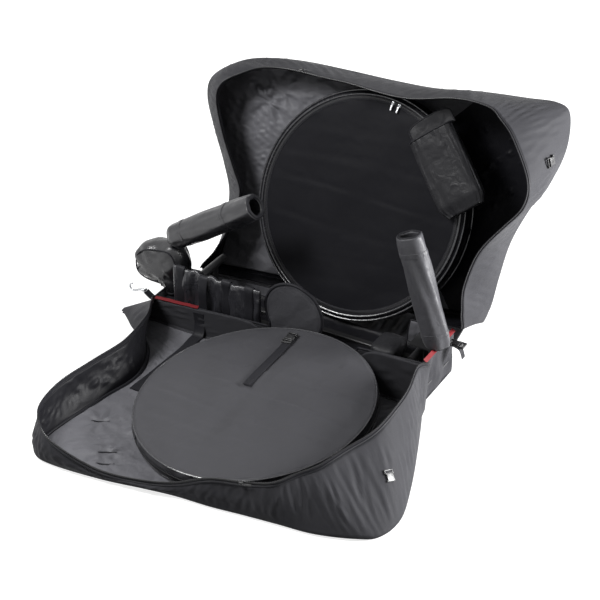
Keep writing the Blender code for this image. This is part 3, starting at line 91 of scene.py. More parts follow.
# Rows of the two outlines as shares: panel s and h, rim s and h, rim o
NEAR_OUTLINE_SHARES = (
    (-0.095, 0.000, 0.020, 0.000, 0.006),
    (-0.050, 0.100, 0.043, 0.100, -0.300),
    (0.060, 0.230, 0.077, 0.215, -0.380),
    (0.113, 0.415, 0.091, 0.393, -0.420),
    (0.095, 0.615, 0.068, 0.572, -0.500),
    (0.073, 0.830, 0.053, 0.757, -0.600),
    (0.071, 0.986, 0.070, 0.930, -0.680),
    (0.100, 1.064, 0.113, 1.022, -0.680),
    (0.164, 1.081, 0.173, 1.070, -0.450),
    (0.300, 1.060, 0.291, 1.062, 0.110),
    (0.409, 1.026, 0.405, 1.030, 0.260),
    (0.491, 1.004, 0.495, 0.994, 0.230),
    (0.582, 0.992, 0.582, 0.970, -0.100),
    (0.668, 0.972, 0.668, 0.944, -0.140),
    (0.755, 0.954, 0.741, 0.910, -0.200),
    (0.845, 0.936, 0.786, 0.846, -0.320),
    (0.936, 0.886, 0.823, 0.779, -0.360),
    (0.986, 0.829, 0.855, 0.664, -0.410),
    (1.000, 0.700, 0.891, 0.529, -0.450),
    (0.964, 0.500, 0.897, 0.386, -0.480),
    (0.909, 0.271, 0.895, 0.257, -0.500),
    (0.864, 0.100, 0.871, 0.114, -0.420),
    (0.832, 0.000, 0.859, 0.000, 0.006),
    (0.700, 0.000, 0.700, 0.000, 0.006),
    (0.630, 0.000, 0.630, 0.000, 0.540),
    (0.510, 0.000, 0.510, 0.000, 0.540),
    (0.395, 0.000, 0.395, 0.000, 0.540),
    (0.325, 0.000, 0.325, 0.000, 0.006),
    (0.150, 0.000, 0.150, 0.000, 0.006),
)
FAR_OUTLINE_SHARES = (
    (0.036, 0.000, 0.055, 0.000, 0.006),
    (0.050, 0.100, 0.100, 0.114, -0.300),
    (0.064, 0.229, 0.145, 0.257, -0.420),
    (0.068, 0.371, 0.164, 0.386, -0.470),
    (0.041, 0.500, 0.135, 0.493, -0.600),
    (0.000, 0.643, 0.095, 0.650, -0.880),
    (-0.032, 0.779, 0.066, 0.779, -0.880),
    (-0.023, 0.871, 0.082, 0.864, -0.850),
    (0.045, 0.946, 0.145, 0.926, -0.800),
    (0.127, 0.986, 0.214, 0.946, -0.780),
    (0.255, 1.000, 0.314, 0.957, -0.780),
    (0.400, 0.990, 0.432, 0.941, -0.780),
    (0.527, 0.977, 0.545, 0.919, -0.800),
    (0.655, 0.971, 0.655, 0.917, -0.850),
    (0.782, 0.986, 0.782, 0.941, -0.880),
    (0.909, 0.989, 0.877, 0.931, -0.880),
    (0.991, 0.989, 0.914, 0.886, -0.880),
    (1.027, 0.950, 0.959, 0.809, -0.880),
    (1.032, 0.814, 1.014, 0.671, -0.880),
    (1.005, 0.671, 1.011, 0.571, -0.880),
    (0.955, 0.529, 0.968, 0.464, -0.880),
    (0.918, 0.386, 0.909, 0.336, -0.800),
    (0.900, 0.229, 0.880, 0.200, -0.600),
    (0.886, 0.086, 0.880, 0.086, -0.450),
    (0.855, 0.000, 0.864, 0.000, 0.006),
    (0.760, 0.000, 0.760, 0.000, 0.006),
    (0.705, 0.000, 0.705, 0.000, 0.560),
    (0.515, 0.000, 0.515, 0.000, 0.560),
    (0.325, 0.000, 0.325, 0.000, 0.560),
    (0.270, 0.000, 0.270, 0.000, 0.006),
)

# Round bags
NEAR_BAG_PLACE = (0.567, 0.325)
NEAR_BAG_FACE = -0.0025
NEAR_BAG_DEPTH = 0.0516
FAR_POCKET_PLACE = (0.566, 0.302)
FAR_POCKET_FACE = -0.010
FAR_POCKET_DEPTH = 0.0606
WHEEL_BAG_RADIUS = 0.345
FAR_ZIP_RADIUS = WHEEL_BAG_RADIUS - 0.0235
PAD_FACE_DEPTH = 0.0083

# Pinched places of the linings: s, h and direction
NEAR_TUCKS = ((0.173, 0.530, -0.53), (0.273, 0.636, -0.53), (0.299, 0.682, -0.50))
FAR_TUFTS = ((0.185, 0.560, 1.1), (0.225, 0.600, 1.1))

# Organiser
ORGANISER_PLACE = (0.850, 0.450)
ORGANISER_SIZE = (0.150, 0.250, 0.050)
ORGANISER_LEAN = math.radians(36)
ORGANISER_BACK = -0.0166
FLAP_LENGTH = 0.050

# Base, its frame and its padded covers
SKIRT_CLEARANCE = 0.012
BOARD_TOP = 0.0563
RAIL_TOP = 0.0686
RAIL_OFFSET = 0.030
SLEEVE_BOTTOM = (0.928, 0.1583)
SLEEVE_TOP = (0.822, 0.492)
SLEEVE_Y = -0.006
SLEEVE_RADII = (0.042, 0.034)
FOOT_PAD_X = (0.725, 0.812)
FOOT_PAD_HALF_WIDTH = 0.052
FOOT_PAD_HEIGHT = 0.052
REAR_PAD_X = (-0.120, 0.066)
REAR_PAD_HALF_WIDTH = 0.048
REAR_PAD_TOP = 0.232
STAY_SLEEVE_ROUTE = ((0.0235, 0.2548), (0.120, 0.315), (0.225, 0.382), (0.316, 0.440))
STAY_SLEEVE_RADIUS = 0.036
SKIRT_X = (0.070, 0.380)
SKIRT_Y = -0.080
SKIRT_THICKNESS = 0.016
SKIRT_TOP = 0.212
SKIRT_SWELL = 0.006
GUARD_X = 0.485
GUARD_Y = -0.066
GUARD_RADIUS = 0.098
GUARD_CENTRE_HEIGHT = 0.160
GUARD_THICKNESS = 0.010

# Straps and fittings
WHEEL_STRAP_S = 0.520
WHEEL_STRAP_H = (0.020, 0.285)
WIDE_STRAP_S = 0.174
WIDE_STRAP_END_H = 0.360
BUCKLE_SIZE = (0.034, 0.030, 0.009)
RING_TAB_Y = -0.086
RING_TAB_WIDTH = 0.024
HOOK_LENGTH = 0.056


class BagSizes(bpy.types.PropertyGroup):
    """Sizes of the cloth, the zips and the straps that a user may change."""

    cloth: bpy.props.FloatProperty(
        name="Cloth", description="Thickness of the outer cloth", default=0.0018, min=0.0005, unit="LENGTH"
    )
    binding: bpy.props.FloatProperty(
        name="Binding", description="Radius of the piping on the rims", default=0.0034, min=0.001, unit="LENGTH"
    )
    tooth_pitch: bpy.props.FloatProperty(
        name="Tooth pitch", description="Distance between zip teeth", default=0.0032, min=0.0015, unit="LENGTH"
    )
    strap: bpy.props.FloatProperty(
        name="Strap", description="Width of the wheel bag's strap", default=0.025, min=0.01, unit="LENGTH"
    )
    wide_strap: bpy.props.FloatProperty(
        name="Wide strap", description="Width of the strap on the lining", default=0.038, min=0.01, unit="LENGTH"
    )
    fold_depth: bpy.props.FloatProperty(
        name="Fold depth", description="Depth of the folds in the outer cloth", default=0.0060, min=0, unit="LENGTH"
    )
    crinkle: bpy.props.FloatProperty(
        name="Crinkle", description="Depth of the creases in the lining", default=0.0046, min=0, unit="LENGTH"
    )


def colour_property(name, description, default):
    return bpy.props.FloatVectorProperty(
        name=name, description=description, subtype="COLOR", size=3, min=0, max=1, default=default
    )


class BagColours(bpy.types.PropertyGroup):
    """Colours of the bag's cloths and fittings."""

    nylon: colour_property("Outer cloth", "Woven nylon of the shells and the base", (0.036, 0.036, 0.040))
    dark_lining: colour_property("Wall lining", "Coated lining of the near walls", (0.011, 0.011, 0.013))
    # The far walls' lining is darker than the near walls' so that its colour also carries painted shade for the
    # shaded inside of the far half
    deep_lining: colour_property("Deep lining", "Coated lining of the far walls", (0.008, 0.008, 0.010))
    pad_lining: colour_property("Pad lining", "Brushed lining of the side pads", (0.112, 0.112, 0.123))
    padding: colour_property("Padded covers", "Cloth of the padded covers", (0.050, 0.050, 0.056))
    disc: colour_property("Wheel bags", "Cloth of the wheel bags", (0.046, 0.046, 0.051))
    pocket: colour_property("Wheel pocket", "Cloth of the far wheel pocket", (0.008, 0.008, 0.010))
    webbing: colour_property("Webbing", "Straps and zip tapes", (0.010, 0.010, 0.012))
    red_tape: colour_property("Edge tape", "Woven tape at the base's corners", (0.120, 0.002, 0.005))
    plastic: colour_property("Plastic", "Buckles and levers", (0.014, 0.014, 0.015))
    steel: colour_property("Steel", "Rails, stands and hook", (0.500, 0.510, 0.525))


# Small helpers


def sizes():
    return bpy.context.scene.bag_sizes


def colours():
    return bpy.context.scene.bag_colours


def seam_height(x):
    return SEAM_HEIGHT + x * math.tan(SEAM_SLOPE)


def panel_out(s, h):
    return PANEL_OUT + NOSE_FLARE * s - TOP_TAPER * h


def half_matrix(side):
    opened = NEAR_OPEN if side == NEAR else FAR_OPEN
    place = Matrix.Translation(BAG_START + Vector((0, side * SEAM_HALF_WIDTH, SEAM_HEIGHT)))
    return place @ Matrix.Rotation(-SEAM_SLOPE, 4, "Y") @ Matrix.Rotation(-side * opened, 4, "X")


def in_half(side, points):
    """Points of (s, h, o) in a half, as an array of places in the bag's frame."""
    points = np.asarray(points, float)
    shape = points.shape
    flat = points.reshape(-1, 3)
    local = np.stack([flat[:, 0], side * flat[:, 2], flat[:, 1]], axis=1)
    matrix = np.array(half_matrix(side))
    return (local @ matrix[:3, :3].T + matrix[:3, 3]).reshape(shape)


def in_base(points):
    return np.asarray(points, float) + np.array(BAG_START)


def facing(side, s, h, o):
    """A place in a half whose Z points outward from the bag's middle."""
    turn = Matrix.Rotation(-side * math.pi / 2, 4, "X")
    return half_matrix(side) @ Matrix.Translation((s, side * o, h)) @ turn


def smooth_rows(rows, steps, closed=True):
    """A smooth curve through the rows: a Catmull-Rom spline of any number of columns."""
    rows = np.asarray(rows, float)
    count = len(rows)
    spans = count if closed else count - 1
    index = np.arange(spans)
    pick = (lambda i: i % count) if closed else (lambda i: np.clip(i, 0, count - 1))
    a, b, c, d = (rows[pick(index + k)] for k in (-1, 0, 1, 2))
    t = (np.arange(steps) / steps)[None, :, None]
    a, b, c, d = (x[:, None, :] for x in (a, b, c, d))
    curve = (2 * b + (c - a) * t + (2 * a - 5 * b + 4 * c - d) * t**2 + (3 * b - a - 3 * c + d) * t**3) / 2
    curve = curve.reshape(-1, rows.shape[1])
    return curve if closed else np.vstack([curve, rows[-1]])


def outward_in_plane(ring):
    """Unit normals of a closed ring of (s, h), away from its inside."""
    ahead = np.roll(ring, -1, axis=0) - np.roll(ring, 1, axis=0)
    ahead /= np.linalg.norm(ahead, axis=1, keepdims=True) + 1e-12
    following = np.roll(ring, -1, axis=0)
    area = np.sum(ring[:, 0] * following[:, 1] - following[:, 0] * ring[:, 1])
    turn = 1 if area > 0 else -1
    return np.stack([turn * ahead[:, 1], -turn * ahead[:, 0]], axis=1)


def seam_column(side):
    """The first column of a half's outline that lies along the hinge seam."""
    return (NEAR_SEAM_ROW if side == NEAR else FAR_SEAM_ROW) * OUTLINE_STEPS


def outline_of(side):
    """A half's outline in metres: panel s and h, rim s and h, rim o."""
    rows = smooth_rows(NEAR_OUTLINE_SHARES if side == NEAR else FAR_OUTLINE_SHARES, OUTLINE_STEPS)
    rows[:, [0, 2]] *= HALF_LENGTH
    rows[:, [1, 3]] *= HALF_HEIGHT
    rows[:, 4] = np.maximum(rows[:, 4] * SEAM_HALF_WIDTH, -SEAM_HALF_WIDTH)
    rows[:, 1] = np.maximum(rows[:, 1], SEAM_CLEARANCE + TOP_TAPER * panel_out(rows[:, 0], 0))
    rows[:, 3] = np.maximum(rows[:, 3], SEAM_CLEARANCE + TOP_TAPER * np.maximum(rows[:, 4], 0))
    return rows


def waves(u, v, seed, count, across, along, ridged=False):
    """A repeatable field of creases, from -1 to 1. across and along are ranges of whole waves."""
    chance = np.random.default_rng(seed)
    total = np.zeros(np.broadcast(u, v).shape)
    weight = 0
    for _ in range(count):
        fu = chance.integers(across[0], across[1] + 1)
        fv = chance.uniform(*along)
        amount = chance.uniform(0.5, 1)
        turn = chance.uniform(0, 2 * math.pi)
        bend = chance.uniform(-0.8, 0.8) * np.sin(2 * math.pi * v * chance.uniform(0.5, 1.5) + turn)
        wave = np.sin(2 * math.pi * (fu * u + fv * v) + turn + bend)
        if ridged:
            wave = 1 - 2 * np.abs(wave) ** 0.7
        total = total + amount * wave
        weight += amount
    return total / (weight**0.5 * 1.2)


def smoothstep(low, high, value):
    t = np.clip((value - low) / (high - low), 0, 1)
    return t * t * (3 - 2 * t)


def grid_normals(grid, wrap=True):
    along = np.roll(grid, -1, axis=1) - np.roll(grid, 1, axis=1) if wrap else np.gradient(grid, axis=1)
    across = np.gradient(grid, axis=0)
    normals = np.cross(along, across)
    return normals / (np.linalg.norm(normals, axis=2, keepdims=True) + 1e-12)


def grid_faces(rows, columns, wrap=True, start=0):
    faces = []
    last = columns if wrap else columns - 1
    for i in range(rows - 1):
        for k in range(last):
            m = (k + 1) % columns
            a, b = start + i * columns, start + (i + 1) * columns
            faces.append((a + k, a + m, b + m, b + k))
    return faces


def outward_normals(grid, row, middle):
    """Normals of a grid of rings, turned away from its middle."""
    normal = grid_normals(grid)
    return -normal if np.sum(normal[row] * (grid[row] - middle)) < 0 else normal


def loop_faces(first, second, count):
    """Faces between two rings of points, given by their first indices."""
    return [(first + k, first + (k + 1) % count, second + (k + 1) % count, second + k) for k in range(count)]


def end_faces(rows, count, closed):
    """The faces that close a tube's end on its start, or cap both ends."""
    last = (rows - 1) * count
    if closed:
        return loop_faces(last, 0, count)
    return [tuple(range(count))[::-1], tuple(last + k for k in range(count))]


def fanned(grid, first=False, last=False):
    """Points and faces of a grid of rings, closed by a fan at its first or last ring's middle."""
    rows, columns = grid.shape[:2]
    points, faces = [grid.reshape(-1, 3)], grid_faces(rows, columns)
    centre = rows * columns
    if first:
        points.append(grid[0].mean(axis=0))
        faces += [((k + 1) % columns, k, centre) for k in range(columns)]
        centre += 1
    if last:
        start = (rows - 1) * columns
        points.append(grid[-1].mean(axis=0))
        faces += [(start + k, start + (k + 1) % columns, centre) for k in range(columns)]
    return np.vstack(points), faces


def make_piece(name, points, faces, body, slot, *finishes, stands_for=(), outward=True, angle=40):
    """A new mesh object that rides on a body and takes the finishes it is given; slot is not used."""
    mesh = bpy.data.meshes.new(name)
    places = [tuple(p) for p in np.asarray(points, float).reshape(-1, 3)]
    mesh.from_pydata(places, [], [tuple(map(int, face)) for face in faces])
    mesh.validate()
    shape = bmesh.new()
    shape.from_mesh(mesh)
    bmesh.ops.remove_doubles(shape, verts=shape.verts, dist=1e-6)
    if outward:
        bmesh.ops.recalc_face_normals(shape, faces=shape.faces)
    shape.to_mesh(mesh)
    shape.free()
    mesh.shade_smooth()
    if angle:
        mesh.set_sharp_from_angle(angle=math.radians(angle))
    piece = bpy.data.objects.new(name, mesh)
    bpy.context.scene.collection.objects.link(piece)
    for finish in finishes:
        mesh.materials.append(finish)
    if body:
        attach(piece, body)
    if stands_for:
        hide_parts(*stands_for)
    return piece


def path_length(path):
    return float(np.linalg.norm(np.diff(path, axis=0), axis=1).sum())


def thicken(piece, thickness, offset=-1):
    """Gives a thin cloth its thickness, inward unless offset says otherwise."""
    modifier = piece.modifiers.new("cloth thickness", "SOLIDIFY")
    modifier.thickness = thickness
    modifier.offset = offset
    modifier.use_even_offset = False
    return modifier


def path_frames(path, closed=False, up=None):
    """Tangents and steady normals along a path."""
    path = np.asarray(path, float)
    if closed:
        tangent = np.roll(path, -1, axis=0) - np.roll(path, 1, axis=0)
    else:
        tangent = np.gradient(path, axis=0)
    tangent /= np.linalg.norm(tangent, axis=1, keepdims=True) + 1e-12
    if up is not None:
        up = np.broadcast_to(np.asarray(up, float), path.shape)
        side = np.cross(tangent, up)
        side /= np.linalg.norm(side, axis=1, keepdims=True) + 1e-12
        return tangent, np.cross(side, tangent), side
    first = np.array([0.0, 0.0, 1.0]) if abs(tangent[0][2]) < 0.9 else np.array([1.0, 0.0, 0.0])
    normal = first - tangent[0] * first.dot(tangent[0])
    normals = []
    for direction in tangent:
        normal = normal - direction * normal.dot(direction)
        normal = normal / (np.linalg.norm(normal) + 1e-12)
        normals.append(normal)
    normals = np.array(normals)
    return tangent, normals, np.cross(tangent, normals)


def tube_mesh(path, radius, sides=8, closed=False):
    """Points and faces of a round tube, with capped ends unless it is closed. radius may be per point."""
    path = np.asarray(path, float)
    _, normal, side = path_frames(path, closed)
    radius = np.broadcast_to(np.asarray(radius, float), (len(path),))[:, None, None]
    turn = 2 * math.pi * np.arange(sides) / sides
    ring = np.cos(turn)[None, :, None] * normal[:, None, :] + np.sin(turn)[None, :, None] * side[:, None, :]
    points = (path[:, None, :] + radius * ring).reshape(-1, 3)
    return points, grid_faces(len(path), sides) + end_faces(len(path), sides, closed)


def ribbon_mesh(path, up, width, thickness, closed=False, crown=0.0):
    """A flat woven band with soft edges. up is its face's normal, one or one per point."""
    path = np.asarray(path, float)
    _, normal, side = path_frames(path, closed, up)
    w, t = width / 2, thickness / 2
    section = (
        (-w, -t * 0.4), (-w * 0.94, -t), (0, -t), (w * 0.94, -t), (w, -t * 0.4),
        (w, t * 0.4), (w * 0.94, t), (w * 0.5, t + crown * 0.7), (0, t + crown), (-w * 0.5, t + crown * 0.7),
        (-w * 0.94, t), (-w, t * 0.4),
    )
    points = np.stack([path + a * side + b * normal for a, b in section], axis=1).reshape(-1, 3)
    return points, grid_faces(len(path), len(section)) + end_faces(len(path), len(section), closed)


def joined_meshes(*parts):
    points, faces, start = [], [], 0
    for part_points, part_faces in parts:
        part_points = np.asarray(part_points, float).reshape(-1, 3)
        points.append(part_points)
        faces += [tuple(start + i for i in face) for face in part_faces]
        start += len(part_points)
    return np.vstack(points), faces


def resample(path, step, closed=False):
    """Points at even steps along a path."""
    path = np.asarray(path, float)
    if closed:
        path = np.vstack([path, path[:1]])
    length = np.concatenate([[0], np.cumsum(np.linalg.norm(np.diff(path, axis=0), axis=1))])
    count = max(2, int(round(length[-1] / step)))
    at = np.linspace(0, length[-1], count, endpoint=not closed)
    return np.stack([np.interp(at, length, path[:, i]) for i in range(path.shape[1])], axis=1)


def repeated_mesh(template, faces, places, tangent, normal, side):
    """Copies of a small template of (along, up, across) points at each place of a path."""
    template = np.asarray(template, float)
    points = (
        places[:, None, :] + template[None, :, 0:1] * tangent[:, None, :]
        + template[None, :, 1:2] * normal[:, None, :] + template[None, :, 2:3] * side[:, None, :]
    )
    count = len(template)
    all_faces = [tuple(start * count + i for i in face) for start in range(len(places)) for face in faces]
    return points.reshape(-1, 3), all_faces


BLOCK_FACES = ((0, 1, 3, 2), (4, 6, 7, 5), (0, 4, 5, 1), (2, 3, 7, 6), (0, 2, 6, 4), (1, 5, 7, 3))


def block(low, high, taper=1.0):
    """Eight corners of a block of (along, up, across), narrower at its top by taper."""
    points = []
    for x in (low[0], high[0]):
        for y in (low[1], high[1]):
            narrow = taper if y == high[1] else 1
            for z in (low[2], high[2]):
                points.append((x * narrow, y, z * narrow))
    return points


def zip_teeth(path, up, width, closed=False):
    """Two interlocked rows of coil teeth along a path."""
    pitch = sizes().tooth_pitch
    path = resample(np.hstack([path, np.broadcast_to(up, np.shape(path))]), pitch, closed)
    places, ups = path[:, :3], path[:, 3:]
    tangent, normal, side = path_frames(places, closed, ups)
    half = width / 2
    left = block((-pitch * 0.36, 0, -half), (pitch * 0.36, half * 0.62, half * 0.18), 0.82)
    right = block((-pitch * 0.36, 0, -half * 0.18), (pitch * 0.36, half * 0.62, half), 0.82)
    odd = np.arange(len(places)) % 2 == 0
    parts = []
    for pick, template in ((odd, left), (~odd, right)):
        if pick.any():
            axes = tangent[pick], normal[pick], side[pick]
            parts.append(repeated_mesh(template, BLOCK_FACES, places[pick], *axes))
    return joined_meshes(*parts)


def stitches(path, up, pitch=0.0045, length=0.0030, radius=0.00042, closed=False):
    """A row of thread stitches that stand a little proud of a cloth."""
    path = resample(np.hstack([path, np.broadcast_to(up, np.shape(path))]), pitch, closed)
    places, ups = path[:, :3], path[:, 3:]
    tangent, normal, side = path_frames(places, closed, ups)
    sides = 5
    turn = 2 * math.pi * np.arange(sides) / sides
    template = [(-length / 2, -radius * 0.4, 0)]
    for x, size in ((-length * 0.3, 1.0), (length * 0.3, 1.0)):
        template += [(x, radius * size * math.cos(a) + radius * 0.3, radius * size * math.sin(a)) for a in turn]
    template.append((length / 2, -radius * 0.4, 0))
    faces = [(0, 1 + (k + 1) % sides, 1 + k) for k in range(sides)]
    faces += loop_faces(1, 1 + sides, sides)
    faces += [(1 + sides + k, 1 + sides + (k + 1) % sides, 1 + 2 * sides) for k in range(sides)]
    return repeated_mesh(template, faces, places, tangent, normal, side)


def rounded_block(size, radius, segments=3):
    """Points and faces of a block with rounded edges, about its own middle."""
    shape = bmesh.new()
    bmesh.ops.create_cube(shape, size=1)
    bmesh.ops.scale(shape, vec=size, verts=shape.verts)
    bmesh.ops.bevel(
        shape, geom=list(shape.edges), offset=min(radius, min(size) * 0.49), segments=segments, profile=0.5,
        affect="EDGES",
    )
    shape.verts.index_update()
    points = [tuple(v.co) for v in shape.verts]
    faces = [tuple(v.index for v in f.verts) for f in shape.faces]
    shape.free()
    return np.array(points), faces


def placed(mesh, matrix):
    points, faces = mesh
    matrix = np.array(matrix)
    return np.asarray(points) @ matrix[:3, :3].T + matrix[:3, 3], faces


def moved(mesh, offset):
    points, faces = mesh
    return np.asarray(points, float) + np.asarray(offset, float), faces


# Materials


def set_inputs(tree, node, sockets):
    """Gives each input a value, or links it to another node's output."""
    for key, value in sockets.items():
        if isinstance(value, bpy.types.NodeSocket):
            tree.links.new(value, node.inputs[key])
        else:
            node.inputs[key].default_value = value


def add_node(tree, kind, x, y, sockets=None, **settings):
    """A new node at (x, y). sockets holds a value or another node's output for each input."""
    node = tree.nodes.new(kind)
    node.location = (x, y)
    for key, value in settings.items():
        setattr(node, key, value)
    set_inputs(tree, node, sockets or {})
    return node


def math_node(tree, x, y, operation, *values):
    """The result of a math node. Each value is a number or another node's output."""
    return add_node(tree, "ShaderNodeMath", x, y, dict(enumerate(values)), operation=operation).outputs[0]


def map_range(tree, x, y, **limits):
    """The result of a range node, with limits such as From_Min and its Value."""
    sockets = {key.replace("_", " "): value for key, value in limits.items()}
    return add_node(tree, "ShaderNodeMapRange", x, y, sockets).outputs["Result"]


def make_group(name, inputs, outputs):
    """A group with number inputs, given with their defaults, and number outputs."""
    group = bpy.data.node_groups.new(name, "ShaderNodeTree")
    for socket, default in inputs.items():
        made = group.interface.new_socket(socket, in_out="INPUT", socket_type="NodeSocketFloat")
        made.default_value = default
    for socket in outputs:
        group.interface.new_socket(socket, in_out="OUTPUT", socket_type="NodeSocketFloat")
    start = add_node(group, "NodeGroupInput", -900, 0).outputs
    end = add_node(group, "NodeGroupOutput", 600, 0)
    place = add_node(group, "ShaderNodeTexCoord", -900, 300).outputs["Object"]
    return group, start, end, place


def weave_group():
    """Crossing threads at a given number of threads per metre."""
    inputs = {"Threads": 1800.0, "Slub": 0.25}
    group, start, end, place = make_group("woven threads", inputs, ("Height", "Shade"))
    sockets = {0: place, "Scale": start["Threads"]}
    scaled = add_node(group, "ShaderNodeVectorMath", -700, 300, sockets, operation="SCALE").outputs["Vector"]
    split = add_node(group, "ShaderNodeSeparateXYZ", -520, 300, {0: scaled}).outputs
    sines = [math_node(group, -340, 420 - 140 * i, "SINE", split[axis]) for i, axis in enumerate("XYZ")]
    first = math_node(group, -160, 380, "MULTIPLY", sines[0], sines[1])
    second = math_node(group, -160, 220, "MULTIPLY", sines[1], sines[2])
    both = math_node(group, 20, 300, "ADD", first, second)
    slub = add_node(group, "ShaderNodeTexNoise", -340, -80, {"Vector": scaled, "Scale": 0.35, "Detail": 3.0})
    uneven = math_node(group, -160, -80, "MULTIPLY", slub.outputs["Fac"], start["Slub"])
    total = math_node(group, 200, 200, "MULTIPLY_ADD", both, 0.25, uneven)
    # Shade: the crests of the threads lighter and the hollows between them darker, painted shade at the scale of
    # the weave
    shade = map_range(group, 380, 60, Value=total, From_Min=-0.5, From_Max=0.7)
    set_inputs(group, end, {"Height": total, "Shade": shade})
    return group


def crease_group():
    """Soft, uneven creases with sharper ridges, as in coated cloth."""
    group, start, end, place = make_group("cloth creases", {"Scale": 14.0, "Ridge": 0.5}, ("Height", "Mask"))
    scale = start["Scale"]
    warp = add_node(group, "ShaderNodeTexNoise", -700, 120, {"Vector": place, "Scale": scale, "Detail": 2.0})
    sockets = {0: warp.outputs["Color"], 1: (0.12, 0.12, 0.12), 2: place}
    bent = add_node(group, "ShaderNodeVectorMath", -500, 240, sockets, operation="MULTIPLY_ADD")
    bent = bent.outputs["Vector"]
    sockets = {"Vector": bent, "Scale": scale, "Detail": 2.5}
    ridge = add_node(group, "ShaderNodeTexNoise", -300, 260, sockets, noise_type="RIDGED_MULTIFRACTAL")
    soft = add_node(group, "ShaderNodeTexNoise", -300, 0, {"Vector": bent, "Scale": scale, "Detail": 3.0})
    sockets = {"Factor": start["Ridge"], "A": soft.outputs["Fac"], "B": ridge.outputs["Fac"]}
    mixed = add_node(group, "ShaderNodeMix", -60, 160, sockets)
    mask = map_range(group, 160, 0, Value=soft.outputs["Fac"], From_Min=0.35, From_Max=0.75)
    set_inputs(group, end, {"Height": mixed.outputs["Result"], "Mask": mask})
    return group


def wear_group():
    """A fine, patchy film of dust and handling marks."""
    group, start, end, place = make_group("dust and wear", {"Patch": 5.0, "Amount": 0.3}, ("Mask",))
    sockets = {"Vector": place, "Scale": start["Patch"], "Detail": 5.0, "Roughness": 0.62}
    patches = add_node(group, "ShaderNodeTexNoise", -500, 200, sockets)
    sharp = map_range(group, -280, 200, Value=patches.outputs["Fac"], From_Min=0.42, From_Max=0.68)
    set_inputs(group, end, {"Mask": math_node(group, -60, 200, "MULTIPLY", sharp, start["Amount"])})
    return group


GROUPS = {}
FINISHES = {}


def group_node(tree, name, x, y, sockets):
    """The outputs of a shared group, which is made when it is first asked for."""
    if name not in GROUPS:
        GROUPS[name] = {"weave": weave_group, "crease": crease_group, "wear": wear_group}[name]()
    return add_node(tree, "ShaderNodeGroup", x, y, sockets, node_tree=GROUPS[name]).outputs


def tint(colour, factor=1.0, lift=0.0):
    return (*[min(1, c * factor + lift) for c in colour], 1)


def new_finish(name):
    """A new material's node tree and its shader."""
    material = bpy.data.materials.new(name)
    material.use_nodes = True
    FINISHES[name] = material
    return material.node_tree, material.node_tree.nodes["Principled BSDF"]


def cloth_finish(
    name, colour, threads, rough, weave_depth, crease_scale, crease_depth, ridge,
    lift=1.35, dust=0.12, sheen=0.0, slub=0.25, gloss_level=0.25,
):
    """A woven or coated cloth: threads, creases, patchy dust and a slight sheen."""
    if name in FINISHES:
        return FINISHES[name]
    tree, shader = new_finish(name)
    weave = group_node(tree, "weave", -900, 100, {"Threads": threads * math.pi, "Slub": slub})
    crease = group_node(tree, "crease", -900, -150, {"Scale": crease_scale, "Ridge": ridge})
    wear = group_node(tree, "wear", -900, -350, {"Patch": 4.5, "Amount": dust})
    # The weave's Shade paints the thread hollows darker and the crests lighter: painted shade
    sockets = {"Factor": weave["Shade"], "A": tint(colour, 0.80), "B": tint(colour, lift)}
    shaded = add_node(tree, "ShaderNodeMix", -620, 220, sockets, data_type="RGBA").outputs["Result"]
    sockets = {"Factor": wear["Mask"], "A": shaded, "B": tint(colour, 1.5, 0.02)}
    dusty = add_node(tree, "ShaderNodeMix", -380, 220, sockets, data_type="RGBA").outputs["Result"]
    gloss = map_range(tree, -380, -20, Value=crease["Mask"], To_Min=rough - 0.07, To_Max=min(1, rough + 0.09))
    sockets = {"Strength": 0.55, "Distance": weave_depth, "Height": weave["Height"]}
    fine = add_node(tree, "ShaderNodeBump", -380, -260, sockets).outputs["Normal"]
    sockets = {"Strength": 0.8, "Distance": crease_depth, "Height": crease["Height"], "Normal": fine}
    broad = add_node(tree, "ShaderNodeBump", -160, -200, sockets).outputs["Normal"]
    set_inputs(tree, shader, {
        "Base Color": dusty, "Roughness": gloss, "Normal": broad, "Sheen Weight": sheen, "Sheen Roughness": 0.5,
        "Specular IOR Level": gloss_level,
    })
    return FINISHES[name]


def hard_finish(name, colour, rough, metallic=0.0, grain=220.0, grain_depth=0.00005, dust=0.1):
    """Moulded plastic, plated steel or rubber, with fine grain and light handling marks."""
    if name in FINISHES:
        return FINISHES[name]
    tree, shader = new_finish(name)
    place = add_node(tree, "ShaderNodeTexCoord", -1100, 0).outputs["Object"]
    sockets = {"Vector": place, "Scale": grain, "Detail": 4.0}
    noise = add_node(tree, "ShaderNodeTexNoise", -900, 0, sockets).outputs["Fac"]
    wear = group_node(tree, "wear", -900, -300, {"Patch": 22.0, "Amount": dust})
    sockets = {"Factor": wear["Mask"], "A": (*colour, 1), "B": tint(colour, 1.3, 0.015)}
    mixed = add_node(tree, "ShaderNodeMix", -500, 200, sockets, data_type="RGBA").outputs["Result"]
    gloss = map_range(tree, -500, -40, Value=noise, To_Min=rough * 0.8, To_Max=min(1, rough * 1.25))
    sockets = {"Strength": 0.5, "Distance": grain_depth, "Height": noise}
    bump = add_node(tree, "ShaderNodeBump", -300, -240, sockets).outputs["Normal"]
    set_inputs(tree, shader, {"Base Color": mixed, "Roughness": gloss, "Normal": bump, "Metallic": metallic})
    return FINISHES[name]


def finish_maker(make, name, colour, *values, **looks):
    """A function that gives one finish, made when first asked for. colour may name a colour of the panel."""

    def finish():
        tone = getattr(colours(), colour) if isinstance(colour, str) else colour
        return make(name, tone, *values, **looks)

    return finish


